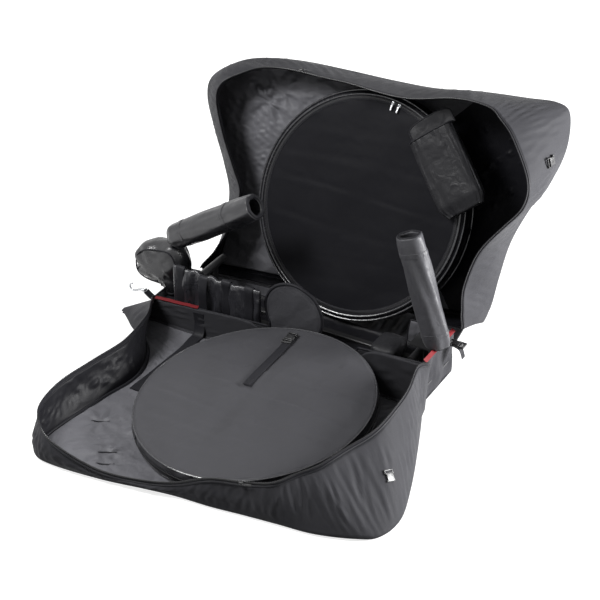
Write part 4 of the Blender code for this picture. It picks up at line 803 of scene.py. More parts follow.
# After a cloth's colour: threads per metre, roughness, thread depth, creases, crease depth, share of ridges
outer_cloth = finish_maker(
    cloth_finish, "outer woven nylon", "nylon", 1500.0, 0.52, 0.00034, 7.0, 0.0100, 0.45,
    sheen=0.02, dust=0.02, gloss_level=0.05,
)
wall_lining = finish_maker(
    cloth_finish, "coated wall lining", "dark_lining", 2600.0, 0.44, 0.00012, 8.0, 0.0030, 0.4,
    dust=0.02, gloss_level=0.09,
)
# The far walls' coated lining, darker than the near walls' lining: partly its own dark colour and partly painted
# shade for the shaded inside of the far half
deep_lining = finish_maker(
    cloth_finish, "coated deep lining", "deep_lining", 2600.0, 0.36, 0.00012, 14.0, 0.0070, 0.6,
    dust=0.01, gloss_level=0.04,
)
pad_lining = finish_maker(
    cloth_finish, "brushed pad lining", "pad_lining", 1900.0, 0.50, 0.00026, 10.0, 0.0420, 0.75,
    sheen=0.03, dust=0.05,
)
padded_cloth = finish_maker(
    cloth_finish, "padded cover cloth", "padding", 2000.0, 0.42, 0.00024, 12.0, 0.0110, 0.35,
    sheen=0.05, dust=0.06, gloss_level=0.35,
)
disc_cloth = finish_maker(
    cloth_finish, "wheel bag cloth", "disc", 1700.0, 0.48, 0.00026, 6.0, 0.0170, 0.25,
    sheen=0.03, dust=0.05, gloss_level=0.18,
)
pocket_cloth = finish_maker(
    cloth_finish, "wheel pocket cloth", "pocket", 1700.0, 0.46, 0.00026, 5.0, 0.0120, 0.2,
    dust=0.02, gloss_level=0.06,
)
# Coated, glossy piping whose colour is also lightened above the dark webbing as a painted highlight along the piped
# ridges
piping_with_painted_highlight = finish_maker(
    cloth_finish, "coated piping", (0.034, 0.034, 0.038), 1400.0, 0.26, 0.00010, 40.0, 0.0010, 0.2,
    dust=0.02, gloss_level=0.7,
)
webbing = finish_maker(
    cloth_finish, "woven webbing", "webbing", 900.0, 0.52, 0.00050, 30.0, 0.0008, 0.1,
    lift=2.2, slub=0.1, gloss_level=0.15,
)
red_tape = finish_maker(cloth_finish, "red edge tape", "red_tape", 1200.0, 0.55, 0.00030, 40.0, 0.0006, 0.2)
organiser_finish = finish_maker(
    cloth_finish, "organiser cloth", (0.011, 0.011, 0.013), 1900.0, 0.42, 0.00024, 14.0, 0.0130, 0.5,
    sheen=0.02, dust=0.04, gloss_level=0.2,
)
sleeve_gloss = finish_maker(
    cloth_finish, "smooth sleeve cloth", (0.020, 0.020, 0.023), 2400.0, 0.30, 0.00012, 9.0, 0.0120, 0.4,
    dust=0.03, gloss_level=0.7,
)
webbing_pad = finish_maker(
    cloth_finish, "dark padded block cloth", (0.014, 0.014, 0.016), 1500.0, 0.50, 0.00030, 16.0, 0.0070, 0.3,
    sheen=0.02, dust=0.04,
)
wall_sheen = finish_maker(
    cloth_finish, "gathered shiny cloth", (0.022, 0.022, 0.026), 2400.0, 0.30, 0.00014, 14.0, 0.0130, 0.6,
    dust=0.04, gloss_level=0.5,
)
shiny_padding = finish_maker(
    cloth_finish, "shiny padded cloth", (0.015, 0.015, 0.017), 2400.0, 0.30, 0.00014, 9.0, 0.0240, 0.6,
    dust=0.03, gloss_level=0.6,
)

# After a hard finish's colour: roughness, and 1 for bare metal
plastic = finish_maker(hard_finish, "moulded buckle plastic", "plastic", 0.34, grain=900.0)
dark_steel = finish_maker(
    hard_finish, "black coated steel", (0.012, 0.012, 0.013), 0.46, grain=260.0, grain_depth=0.00004, dust=0.15
)
steel = finish_maker(hard_finish, "plated steel", "steel", 0.26, 1.0, grain=300.0, grain_depth=0.00003, dust=0.25)
bright_metal = finish_maker(
    hard_finish, "bright zip pull", (0.72, 0.73, 0.75), 0.22, 1.0, grain=500.0, grain_depth=0.00002
)
tyre_rubber = finish_maker(hard_finish, "castor tyre rubber", (0.020, 0.020, 0.021), 0.62, grain=700.0, dust=0.45)
board_plastic = finish_maker(
    hard_finish, "rigid base board", (0.030, 0.030, 0.032), 0.58, grain=400.0, grain_depth=0.00012, dust=0.3
)


# The two halves


def shell_layers(rows):
    """A half's outer skin as a grid from the rim (first ring) over the corner to the panel's middle."""
    panel, rim = rows[:, :2], rows[:, 2:4]
    corner = 0.012
    outward = outward_in_plane(panel)
    free = smoothstep(0.012, 0.06, np.minimum(panel[:, 1], rim[:, 1]))[:, None]
    rings, levels = [], []
    wall_rings = 22
    edge_out = panel_out(panel[:, 0], panel[:, 1]) - corner
    edge_out = np.maximum(edge_out, rows[:, 4] + corner)
    for i in range(wall_rings + 1):
        t = i / wall_rings
        flat = rim * (1 - t) + panel * t + outward * 0.008 * math.sin(math.pi * t) * free
        out = rows[:, 4] * (1 - t) + edge_out * t
        rings.append(np.column_stack([flat, out]))
        levels.append(t)
    for i in (1, 2, 3, 4):
        turn = math.pi / 2 * i / 4
        flat = panel - outward * corner * (1 - math.cos(turn))
        out = edge_out + (panel_out(flat[:, 0], flat[:, 1]) - edge_out) * math.sin(turn)
        rings.append(np.column_stack([flat, out]))
        levels.append(1 + i / 4 * 0.1)
    foot = rings[-1][:, :2]
    middle = foot.mean(axis=0)
    for share in np.concatenate([np.linspace(0.988, 0.40, 50), np.linspace(0.37, 0.10, 8)]):
        reach = int((1 - share) * len(foot) * 0.22)
        eased = np.mean([np.roll(foot, k, axis=0) for k in range(-reach, reach + 1)], axis=0)
        flat = middle + (eased - middle) * share
        rings.append(np.column_stack([flat, panel_out(flat[:, 0], flat[:, 1])]))
        levels.append(2.1 - share)
    return np.array(rings), np.array(levels)


def fold_field(side, rows, levels):
    """How far the outer cloth stands in or out of its smooth form."""
    u = np.linspace(0, 1, len(rows), endpoint=False)[None, :]
    v = np.clip(levels, 0, 1)[:, None]
    wall = np.sin(np.pi * np.clip(levels, 0, 1))[:, None] ** 0.6
    broad = waves(u, v, 3 + side, 7, (5, 16), (-0.5, 0.5))
    fine = waves(u, v, 11 + side, 9, (24, 70), (-1.2, 1.2), ridged=True)
    free = smoothstep(0.02, 0.10, np.minimum(rows[:, 1], rows[:, 3]))[None, :]
    deep = sizes().fold_depth
    field = deep * wall * free * (0.75 * broad + 0.40 * fine)
    rim = 0.004 * waves(u, v, 17 + side, 5, (6, 14), (-0.2, 0.2)) * np.exp(-v * 6) * free
    return field + rim


def build_shell_cloth(side, name):
    """Builds a half's outer skin and gives its grid of (s, h, o)."""
    rows = outline_of(side)
    grid, levels = shell_layers(rows)
    field = fold_field(side, rows, levels)
    local = grid[..., [0, 2, 1]].copy()
    normal = outward_normals(local, 5, local.mean(axis=(0, 1)))
    local = local + normal * field[..., None]
    panel = levels > 1
    if side == FAR:
        u = grid[..., 0] / HALF_LENGTH
        v = grid[..., 1] / HALF_HEIGHT
        sag = 0.004 * waves(u, v, 29, 6, (1, 3), (-2, 2))
        local[panel, :, 1] += sag[panel]
    grid = local[..., [0, 2, 1]]
    world = in_half(side, grid)
    if side == NEAR:
        world[..., 2] = np.maximum(world[..., 2], 0.0003)
    cloth = make_piece(
        f"{name}_shell_cloth", *fanned(world, last=True), f"{name}_half", "nylon", outer_cloth(),
        stands_for=[f"{name}_shell"], angle=0,
    )
    thicken(cloth, sizes().cloth)
    return grid


def dents(grid, spots, radius, depth):
    """Small pinched tucks: long, narrow pits at given s and h, each with its direction."""
    total = np.zeros(grid.shape[:2])
    for s, h, angle in spots:
        along = (grid[..., 0] - s) * math.cos(angle) + (grid[..., 1] - h) * math.sin(angle)
        across = -(grid[..., 0] - s) * math.sin(angle) + (grid[..., 1] - h) * math.cos(angle)
        total += np.exp(-((along / radius) ** 2) - (across / (radius * 0.32)) ** 2)
        reach = np.hypot(along, across)
        fading = np.exp(-((reach / (radius * 4)) ** 2))
        rays = np.cos(7 * np.arctan2(across, along)) * fading * np.tanh(reach / radius)
        total += 0.26 * rays
    return depth * total


def build_lining(side, name, shell_grid):
    """The inner skin: a creased coated lining on the walls and a brushed one on the side pad. The far half's walls
    and nose end take a darker copy of the wall lining, whose colour carries painted shade.
    """
    rows = outline_of(side)
    levels = shell_layers(rows)[1]
    gap = 0.0045
    columns = len(rows)
    outward = outward_in_plane(rows[:, :2])
    local = shell_grid.copy()
    for i, level in enumerate(levels):
        if level <= 1.1:
            local[i, :, :2] -= outward * gap
        if level > 1:
            lift = PAD_FACE_DEPTH + 0.0008
            local[i, :, 2] = np.minimum(local[i, :, 2], panel_out(local[i, :, 0], local[i, :, 1]) - lift)
    u = np.linspace(0, 1, columns, endpoint=False)[None, :]
    v = np.clip(levels, 0, 1)[:, None]
    free = smoothstep(0.02, 0.08, np.minimum(rows[:, 1], rows[:, 3]))[None, :]
    seam_row = seam_column(side)
    at_seam = (np.arange(columns) >= seam_row) & (side == NEAR)
    clear_of_bag = smoothstep(0.17, 0.25, np.abs(rows[:, 0] - NEAR_BAG_PLACE[0]))
    free = np.maximum(free, (at_seam * clear_of_bag)[None, :])
    wall = (np.sin(np.pi * np.clip(levels, 0, 1)) ** 0.5)[:, None] * free
    deep = sizes().crinkle
    swap = local[..., [0, 2, 1]]
    inward = -outward_normals(swap, 5, swap.mean(axis=(0, 1)))
    sharp = waves(u, v, 41 + side, 9, (14, 46), (-2.5, 2.5), ridged=True)
    crinkles = 0.8 * sharp + 0.6 * waves(u, v, 43, 6, (8, 24), (-1, 1))
    swap = swap + inward * (deep * wall * np.maximum(crinkles + 0.6, 0))[..., None]
    local = swap[..., [0, 2, 1]]
    panel = levels > 1.1
    s, h = local[..., 0], local[..., 1]
    dark = smoothstep(0.80, 0.92, s) if side == FAR else smoothstep(0.86, 0.95, s)
    puff = 0.0055 if side == FAR else 0.0028
    quilt = puff * waves(s / HALF_LENGTH, h / HALF_HEIGHT, 51 + side, 8, (3, 8), (-8, 8))
    fine = waves(s / HALF_LENGTH, h / HALF_HEIGHT, 55 + side, 12, (6, 22), (-22, 22), ridged=True)
    quilt = quilt + 0.5 * puff * fine
    loose = 0.010 * dark * (0.6 + waves(s / 0.5, h / 0.5, 57, 8, (2, 7), (-6, 6), ridged=True))
    if side == NEAR:
        pits = dents(local, NEAR_TUCKS, 0.018, 0.0120)
    else:
        pits = dents(local, FAR_TUFTS, 0.022, 0.022)
        swell = 0.012 * np.exp(-(((s - 0.20) / 0.16) ** 2) - ((h - 0.50) / 0.20) ** 2)
        quilt = quilt + swell
    inset = np.clip((levels[:, None] - 1.1) * 6, 0, 1)
    local[panel, :, 2] -= ((quilt + loose) * inset)[panel]
    local[panel, :, 2] += np.minimum(pits, 0.015)[panel]
    limit = panel_out(local[..., 0], local[..., 1]) - (0.0095 if side == FAR else 0.0045)
    local[..., 2] = np.where(panel[:, None], np.minimum(local[..., 2], limit), local[..., 2])
    # On the far half the walls take the darker lining, whose colour carries painted shade
    walls = wall_lining() if side == NEAR else deep_lining()
    lining = make_piece(
        f"{name}_lining", *fanned(in_half(side, local), last=True), f"{name}_half", "lining",
        pad_lining(), walls, outer_cloth(), stands_for=[f"{name}_side_pad"], outward=False, angle=0,
    )
    dark_rows = np.where(levels <= 1.11)[0].max()
    # Walls and the nose end of the pad take the wall lining; on the far half that is the darker copy with painted
    # shade
    for polygon in lining.data.polygons:
        ring, column = divmod(min(polygon.vertices), columns)
        nose = rows[column, 0] > (0.86 if side == FAR else 0.98)
        wall_index = 2 if at_seam[column] else 1
        polygon.material_index = wall_index if ring < dark_rows or nose else 0
    thicken(lining, 0.0015, 0)
    corner = np.where(levels <= 1.0)[0].max()
    path = in_half(side, local[corner + 2, : seam_row + 1])
    if side == NEAR:
        build_tucks(local[panel].reshape(-1, 3))
    binding = tube_mesh(resample(path, 0.008), 0.0044, 8)
    make_piece(f"{name}_corner_binding", *binding, f"{name}_half", "webbing", webbing())


def build_tucks(points):
    """Dark threads that pinch the near lining where it is tacked to its pad."""
    lines = []
    for s, h, angle in NEAR_TUCKS:
        steps = np.linspace(-0.026, 0.026, 11)
        line = np.column_stack([s + steps * math.cos(angle), h + steps * math.sin(angle)])
        line[:, 1] += 0.0012 * np.sin(steps * 90)
        nearest = [np.argmin(np.hypot(points[:, 0] - x, points[:, 1] - y)) for x, y in line]
        out = np.array([points[i, 2] for i in nearest])
        out = np.convolve(np.pad(out, 2, mode="edge"), np.ones(5) / 5, mode="valid") - 0.0016
        lines.append(tube_mesh(in_half(NEAR, np.column_stack([line, out])), 0.0021, 7))
    make_piece("near_lining_tucks", *joined_meshes(*lines), "near_half", "webbing", webbing())


def build_rim(side, name, grid):
    """Piping, zip tape, teeth and stitches along a half's free rim."""
    free = slice(4, seam_column(side) - 3)
    rim = grid[0, free]
    outward = np.column_stack([outward_in_plane(grid[0][:, :2])[free], np.zeros(len(rim))])
    out_world = in_half(side, rim + outward * 0.01) - in_half(side, rim)
    body = f"{name}_half"
    piping = tube_mesh(resample(in_half(side, rim - outward * 0.001), 0.006), sizes().binding, 8)
    make_piece(f"{name}_rim_piping", *piping, body, "webbing", webbing())
    tape = rim - outward * 0.0022 - (0, 0, 0.0062)
    band = ribbon_mesh(in_half(side, tape), out_world, 0.0115, 0.0012)
    teeth = zip_teeth(in_half(side, tape - (0, 0, 0.0050)) + 0.0005 * out_world / 0.01, out_world, 0.0052)
    make_piece(f"{name}_zip_cloth", *band, body, "webbing", webbing(), stands_for=[f"{name}_zip_tape"])
    make_piece(f"{name}_zip_teeth", *teeth, body, "buckle", plastic(), angle=30)
    thread = stitches(in_half(side, rim + (0, 0, 0.0068)) + 0.0009 * out_world / 0.01, out_world)
    make_piece(f"{name}_rim_stitches", *thread, body, "webbing", padded_cloth(), angle=0)


def slider_mesh(place, size=1.0):
    """A zip slider with its bridge, pull ring and ribbed pull tab. Its X is along the zip, Z away from it."""
    body = rounded_block((0.0115, 0.0088, 0.0036), 0.0012)
    body[0][:, 1] *= np.where(body[0][:, 0] > 0, 0.78, 1.0)
    lower = moved(rounded_block((0.0105, 0.0080, 0.0012), 0.0005), (0, 0, -0.0027))
    arc = [(-0.0040, 0, 0.0016), (-0.0034, 0, 0.0040), (0, 0, 0.0048), (0.0034, 0, 0.0040), (0.0040, 0, 0.0016)]
    bridge = tube_mesh(smooth_rows(arc, 4, closed=False), 0.0009, 6)
    turns = np.linspace(0, 2 * math.pi, 20, endpoint=False)
    ring_path = [(0.0035 + 0.0042 * math.cos(a), 0.0030 * math.sin(a), 0.0030) for a in turns]
    ring = tube_mesh(ring_path, 0.0008, 6, closed=True)
    tab = moved(rounded_block((0.019, 0.0056, 0.0016), 0.0007), (0.0165, 0, 0.0030))
    rib = rounded_block((0.0012, 0.0046, 0.0006), 0.0002, 2)
    ribs = [moved(rib, (0.0110 + 0.0026 * k, 0, 0.0040)) for k in range(5)]
    return placed(joined_meshes(body, lower, bridge, ring, tab, *ribs), place @ Matrix.Scale(size, 4))


def axes_matrix(origin, x, z):
    """A place whose X is nearly x and whose Z is z."""
    z = Vector(z).normalized()
    y = z.cross(Vector(x)).normalized()
    x = y.cross(z)
    matrix = Matrix((x, y, z)).transposed().to_4x4()
    matrix.translation = Vector(origin)
    return matrix


def build_rim_slider(side, name, grid, row):
    index = row * OUTLINE_STEPS
    rim = grid[0]
    outward = outward_in_plane(rim[:, :2])[index]
    spot = rim[index].copy()
    spot[:2] += outward * 0.0042
    spot[2] -= 0.0095
    ahead = rim[index + 3] - rim[index - 3]
    origin, tip, out_tip = in_half(side, np.array([spot, spot + ahead, spot + np.append(outward, 0) * 0.01]))
    matrix = axes_matrix(origin, tip - origin, out_tip - origin)
    make_piece(
        f"{name}_zip_slider_metal", *slider_mesh(matrix, 1.15), f"{name}_zip_slider", "buckle", plastic(),
        stands_for=[f"{name}_zip_slider"], angle=35,
    )


# Round wheel bags


def disc_grid(radii, heights, sides):
    turn = 2 * math.pi * np.arange(sides) / sides
    radii = np.asarray(radii)[:, None]
    x = radii * np.cos(turn)[None, :]
    y = radii * np.sin(turn)[None, :]
    z = np.broadcast_to(np.asarray(heights, float)[:, None], x.shape)
    return np.stack([x, y, z], axis=2)


def to_world(grid, matrix):
    shape = grid.shape
    matrix = np.array(matrix)
    flat = grid.reshape(-1, 3) @ matrix[:3, :3].T + matrix[:3, 3]
    return flat.reshape(shape)


def disc_panel(radius, edge, gusset, crown, seed, dent, sides=160):
    """A padded round panel and the gusset below its seam, from the middle outward. Z is inward depth."""
    shares = np.concatenate([np.linspace(0.02, 0.90, 22), np.linspace(0.92, 1, 7)])
    flat_radius = radius - edge
    radii = list(shares * flat_radius)
    heights = [-crown * (1 - s**2) for s in shares]
    for turn in np.linspace(0, math.pi / 2, 6)[1:]:
        radii.append(flat_radius + edge * math.sin(turn))
        heights.append(edge * (1 - math.cos(turn)))
    for share in np.linspace(0, 1, 8)[1:]:
        radii.append(radius + 0.0015 * math.sin(math.pi * share))
        heights.append(edge + (gusset - edge) * share)
    grid = disc_grid(radii, heights, sides)
    x, y = grid[..., 0], grid[..., 1]
    inside = 1 - smoothstep(0.80, 0.97, np.hypot(x, y) / radius)
    field = waves(x / 0.7 + 0.5, y / 0.7, seed, 6, (1, 3), (-2, 2)) * dent * inside
    pinch = waves(np.arctan2(y, x) / (2 * math.pi), np.hypot(x, y) / radius, seed + 1, 6, (14, 34), (-0.4, 0.4))
    ring = np.exp(-(((np.hypot(x, y) / radius) - 0.95) / 0.05) ** 2)
    folds = 0
    for offset, depth in ((-0.62, 0.7), (-0.34, 1.0), (-0.08, 0.8), (0.22, 1.0), (0.47, 0.8), (0.70, 0.6)):
        line = y - radius * offset - 0.012 * np.sin(x / radius * 2.1 + 5 * offset) - 0.05 * x
        folds = folds + depth * (np.exp(-((line / 0.006) ** 2)) - 0.5 * np.exp(-(((line - 0.014) / 0.012) ** 2)))
    slack = np.exp(-(((x + 0.045) / 0.040) ** 2) - ((y - 0.09) / 0.11) ** 2)
    grid[..., 2] += field + 0.0009 * pinch * ring + dent * inside * (0.55 * folds + 1.4 * slack)
    gusset_mask = smoothstep(radius - 0.002, radius, np.hypot(x, y))
    ripple = waves(np.arctan2(y, x) / (2 * math.pi), y * 0, seed + 2, 6, (18, 44), (0, 0))
    swell = 1 + (0.0018 / radius) * gusset_mask * ripple
    grid[..., 0] *= swell
    grid[..., 1] *= swell
    return grid


def round_cover(name, panel, place, body, finish, node):
    """A padded round panel of a wheel bag, with its gusset."""
    mesh = fanned(to_world(panel, place), first=True)
    cover = make_piece(name, *mesh, body, "padding", finish, stands_for=[node], angle=0)
    thicken(cover, 0.0025)


def hoop_maker(place):
    """A function that gives the points of a circle of a given radius and height in a round bag's frame."""
    ring = disc_grid([WHEEL_BAG_RADIUS], [0], 300)[0]

    def hoop(radius, height):
        points = ring * (radius / WHEEL_BAG_RADIUS)
        points[:, 2] = height
        return to_world(points, place)

    return hoop


def build_near_wheel_bag():
    """The padded bag on the near half, with its piping, double zip band, stitches and slider."""
    place = facing(NEAR, *NEAR_BAG_PLACE, NEAR_BAG_FACE)
    half = NEAR_BAG_DEPTH / 2
    top = disc_panel(WHEEL_BAG_RADIUS - 0.0015, 0.008, half - 0.0006, 0.0045, 61, 0.0050)
    top[..., 2] = np.maximum(top[..., 2], -0.009)
    round_cover("near_wheel_bag_lid", top, place, "near_half", disc_cloth(), "near_bag_front")
    low = disc_panel(WHEEL_BAG_RADIUS - 0.0015, 0.010, half - 0.0006, -0.0005, 67, 0.001)
    low[..., 2] = NEAR_BAG_DEPTH - low[..., 2]
    round_cover("near_wheel_bag_body", low, place, "near_half", disc_cloth(), "near_bag_back")
    hoop = hoop_maker(place)
    centre = np.array(place.translation)
    up_out = hoop(WHEEL_BAG_RADIUS, 0) - centre
    piping = [
        tube_mesh(hoop(WHEEL_BAG_RADIUS - 0.0030, height), 0.0026, 8, closed=True)
        for height in (0.0030, NEAR_BAG_DEPTH - 0.0030)
    ]
    # The piping's lighter colour is partly painted highlight
    make_piece("near_wheel_bag_piping", *joined_meshes(*piping), "near_half", "webbing", piping_with_painted_highlight())
    tape = ribbon_mesh(hoop(WHEEL_BAG_RADIUS + 0.0012, half), up_out, 0.020, 0.0012, closed=True)
    make_piece("near_wheel_bag_zip_tape", *tape, "near_half", "webbing", webbing(), stands_for=["near_bag_zip"])
    teeth = zip_teeth(hoop(WHEEL_BAG_RADIUS + 0.0017, half), up_out, 0.0056, closed=True)
    make_piece("near_wheel_bag_zip_teeth", *teeth, "near_half", "buckle", plastic(), angle=30)
    rows = [
        stitches(hoop(WHEEL_BAG_RADIUS + 0.0019, half + offset), up_out, closed=True)
        for offset in (-0.0080, 0.0080)
    ]
    face = to_world(np.array([[0, 0, -1.0]]), place)[0] - centre
    rows.append(stitches(hoop(WHEEL_BAG_RADIUS - 0.0125, -0.0002), face, closed=True))
    make_piece("near_wheel_bag_stitches", *joined_meshes(*rows), "near_half", "webbing", padded_cloth(), angle=0)
    angle = math.radians(200)
    radial = Vector((math.cos(angle), math.sin(angle), 0))
    spot = place @ (radial * (WHEEL_BAG_RADIUS + 0.0052) + Vector((0, 0, half)))
    turn = place.to_3x3()
    slider = axes_matrix(spot, turn @ Vector((-math.sin(angle), math.cos(angle), 0)), turn @ radial)
    make_piece(
        "near_wheel_bag_slider", *slider_mesh(slider), "near_bag_slider", "buckle", plastic(),
        stands_for=["near_bag_slider"], angle=35,
    )
    build_hub_pad(NEAR, "near", NEAR_BAG_PLACE, NEAR_BAG_FACE + NEAR_BAG_DEPTH)


def build_hub_pad(side, name, place, face_out):
    """A domed foam pad between a wheel bag and the side pad, cut to the pad's slope."""
    s, h = place
    depth = panel_out(s, h) - PAD_FACE_DEPTH - face_out - 0.0006
    radii = (0.012, 0.030, 0.044, 0.0495, 0.051, 0.0555, 0.0615, 0.061, 0.050, 0.020)
    shares = (0.0, 0.0, 0.01, 0.03, 0.10, 0.5, 0.94, 0.99, 1.0, 1.0)
    grid = disc_grid(radii, [depth * share for share in shares], 48)
    slope = np.array(shares)[:, None] ** 3
    grid[..., 2] += slope * (NOSE_FLARE * grid[..., 0] + side * TOP_TAPER * grid[..., 1])
    mesh = fanned(to_world(grid, facing(side, s, h, face_out + 0.0003)), first=True, last=True)
    pad = make_piece(
        f"{name}_hub_cushion", *mesh, f"{name}_half", "padding", padded_cloth(), stands_for=[f"{name}_hub_pad"]
    )


def build_far_wheel_pocket():
    """The wheel pocket on the far half, with its piped edges, round zip, stitches and two sliders."""
    place = facing(FAR, *FAR_POCKET_PLACE, FAR_POCKET_FACE)
    panel = disc_panel(WHEEL_BAG_RADIUS - 0.001, 0.009, FAR_POCKET_DEPTH - 0.001, 0.001, 71, 0.0022)
    panel[..., 2] = np.maximum(panel[..., 2], -0.0045)
    round_cover("far_wheel_pocket", panel, place, "far_half", pocket_cloth(), "far_pocket")
    hoop = hoop_maker(place)
    centre = np.array(place.translation)
    face = to_world(np.array([[0, 0, -1.0]]), place)[0] - centre
    radial = hoop(WHEEL_BAG_RADIUS, 0) - centre
    piping = [
        tube_mesh(hoop(WHEEL_BAG_RADIUS - 0.0135, -0.0030), 0.0034, 8, closed=True),
        tube_mesh(hoop(WHEEL_BAG_RADIUS - 0.0010, 0.0030), 0.0028, 8, closed=True),
        tube_mesh(hoop(WHEEL_BAG_RADIUS, FAR_POCKET_DEPTH - 0.004), 0.0026, 8, closed=True),
    ]
    bead = joined_meshes(*piping)
    # The piping's lighter colour is partly painted highlight
    make_piece("far_pocket_bead", *bead, "far_half", "webbing", piping_with_painted_highlight(), stands_for=["far_pocket_piping"])
    tape = ribbon_mesh(hoop(FAR_ZIP_RADIUS, -0.0012), face, 0.013, 0.0010, closed=True)
    make_piece("far_pocket_zip_tape", *tape, "far_half", "webbing", webbing())
    teeth = zip_teeth(hoop(FAR_ZIP_RADIUS, -0.0016), face, 0.0054, closed=True)
    make_piece("far_pocket_zip_teeth", *teeth, "far_half", "buckle", plastic(), angle=30)
    rows = [
        stitches(hoop(WHEEL_BAG_RADIUS - 0.0310, -0.0012), face, closed=True),
        stitches(hoop(WHEEL_BAG_RADIUS + 0.0012, FAR_POCKET_DEPTH * 0.5), radial, closed=True),
    ]
    make_piece("far_pocket_stitches", *joined_meshes(*rows), "far_half", "webbing", padded_cloth(), angle=0)
    turn = place.to_3x3()
    for label, degrees in (("a", 79), ("b", 75)):
        angle = -math.radians(degrees)
        radial_way = Vector((math.cos(angle), math.sin(angle), 0))
        spot = place @ (radial_way * FAR_ZIP_RADIUS + Vector((0, 0, -0.0048)))
        slider = axes_matrix(spot, turn @ -radial_way, turn @ Vector((0, 0, -1)))
        make_piece(
            f"far_pocket_slider_{label}_metal", *slider_mesh(slider, 0.9), f"far_pocket_slider_{label}",
            "aluminium", bright_metal(), stands_for=[f"far_pocket_slider_{label}"], angle=35,
        )
    build_hub_pad(FAR, "far", FAR_POCKET_PLACE, FAR_POCKET_FACE + 0.004)


# Organiser pocket


def organiser_place():
    s, h = ORGANISER_PLACE
    lean = Matrix.Rotation(-ORGANISER_LEAN, 4, "Y")
    return half_matrix(FAR) @ Matrix.Translation((s, ORGANISER_BACK, h)) @ lean


def build_organiser():
    width, length, depth = ORGANISER_SIZE
    place = organiser_place()
    levels = np.linspace(-1, 1, 44)
    turns = 2 * math.pi * np.arange(84) / 84
    rings = []
    for level in levels:
        pinch = 1 - 0.16 * smoothstep(-0.78, -1, level)
        a = width / 2 * pinch * (1 + 0.015 * math.cos(2.2 * level))
        b = depth / 2 * (1 - 0.42 * smoothstep(-0.70, -1, level)) * (0.96 + 0.06 * smoothstep(0.4, 1, level))
        power = 2 / (3.4 - 0.9 * smoothstep(0.2, 1, level))
        c, s = np.cos(turns), np.sin(turns)
        x = a * np.sign(c) * np.abs(c) ** power
        y = -depth / 2 + b * np.sign(s) * np.abs(s) ** power
        rings.append(np.column_stack([x, y, np.full(len(turns), level * length / 2)]))
    grid = np.array(rings)
    u, v = (turns / (2 * math.pi))[None, :], ((levels + 1) / 2)[:, None]
    creases = 0.0016 * waves(u, v, 81, 8, (6, 16), (-0.6, 0.6), ridged=True)
    creases = creases + 0.0013 * waves(u, v, 82, 6, (3, 9), (-1.5, 1.5))
    puckers = 0.0018 * waves(u, v, 83, 5, (16, 30), (-0.2, 0.2)) * np.exp(-v * 9)
    normal = outward_normals(grid, 20, grid[20].mean(axis=0))
    grid = grid + normal * (creases + puckers - 0.0010)[..., None]
    grid[..., 1] = np.minimum(grid[..., 1], -0.0003)
    pocket = make_piece(
        "organiser_cloth", *fanned(to_world(grid, place), first=True), "far_half", "lining", organiser_finish(),
        stands_for=["organiser_pocket"], angle=0,
    )
    thicken(pocket, 0.0016)
    rim = to_world(grid[-1:], place)[0]
    binding = tube_mesh(resample(rim, 0.005, True), 0.0026, 8, closed=True)
    make_piece("organiser_binding", *binding, "far_half", "webbing", webbing())
    hem = to_world(grid[-4:-3] + normal[-4:-3] * 0.0006, place)[0]
    out = to_world(grid[-4:-3] + normal[-4:-3] * 0.01, place)[0] - to_world(grid[-4:-3], place)[0]
    seams = [stitches(hem, out, closed=True)]
    for column in (8, 34):
        line = to_world((grid[3:-4, column] + normal[3:-4, column] * 0.0006)[None], place)[0]
        seams.append(stitches(line, out[column]))
    make_piece("organiser_stitches", *joined_meshes(*seams), "far_half", "webbing", padded_cloth(), angle=0)
    build_organiser_flap(place)


def build_organiser_flap(place):
    width, length = ORGANISER_SIZE[:2]
    rise = length / 2 + 0.0024
    x = np.linspace(-width / 2 + 0.002, width / 2 - 0.002, 34)
    z = np.linspace(0, FLAP_LENGTH, 12)
    xx, zz = np.meshgrid(x, z)
    zz = zz - 0.016 * (np.abs(xx) / (width / 2)) ** 6 * (zz / FLAP_LENGTH)
    ripple = waves(xx / width + 0.5, zz / 0.2, 87, 6, (1, 4), (-1, 1))
    curl = 0.006 * np.sin(math.pi * xx / width + 0.6) * (zz / FLAP_LENGTH) ** 1.5
    yy = -0.0015 - curl + 0.0012 * ripple * (zz / FLAP_LENGTH)
    grid = np.stack([xx, yy, zz + rise], axis=2)
    world = to_world(grid, place)
    flap = make_piece(
        "organiser_flap_cloth", world, grid_faces(*grid.shape[:2], wrap=False), "organiser_flap", "lining",
        organiser_finish(), stands_for=["organiser_flap"], angle=0,
    )
    thicken(flap, 0.0016, 0)
    edge = np.vstack([world[:, 0], world[-1, 1:], world[::-1, -1][1:]])
    binding = tube_mesh(resample(edge, 0.004), 0.0022, 8)
    make_piece("organiser_flap_binding", *binding, "organiser_flap", "webbing", webbing())


# Padded covers on the base


def swept_pad(name, sections, body, node, finish, seed, crease=0.0012, swell=True):
    """A stuffed piece from closed sections, creased, and swelled by a short cloth simulation."""
    grid = np.asarray(sections, float)
    u = np.linspace(0, 1, grid.shape[1], endpoint=False)[None, :]
    v = np.linspace(0, 1, grid.shape[0])[:, None]
    middle = grid.shape[0] // 2
    normal = outward_normals(grid, middle, grid[middle].mean(axis=0))
    grid = grid + normal * (crease * waves(u, v, seed, 8, (3, 9), (-2.5, 2.5)))[..., None]
    mesh = fanned(grid, first=True, last=True)
    pad = make_piece(name, *mesh, body, "padding", finish, stands_for=[node], angle=0)
    if swell:
        puffed(pad)


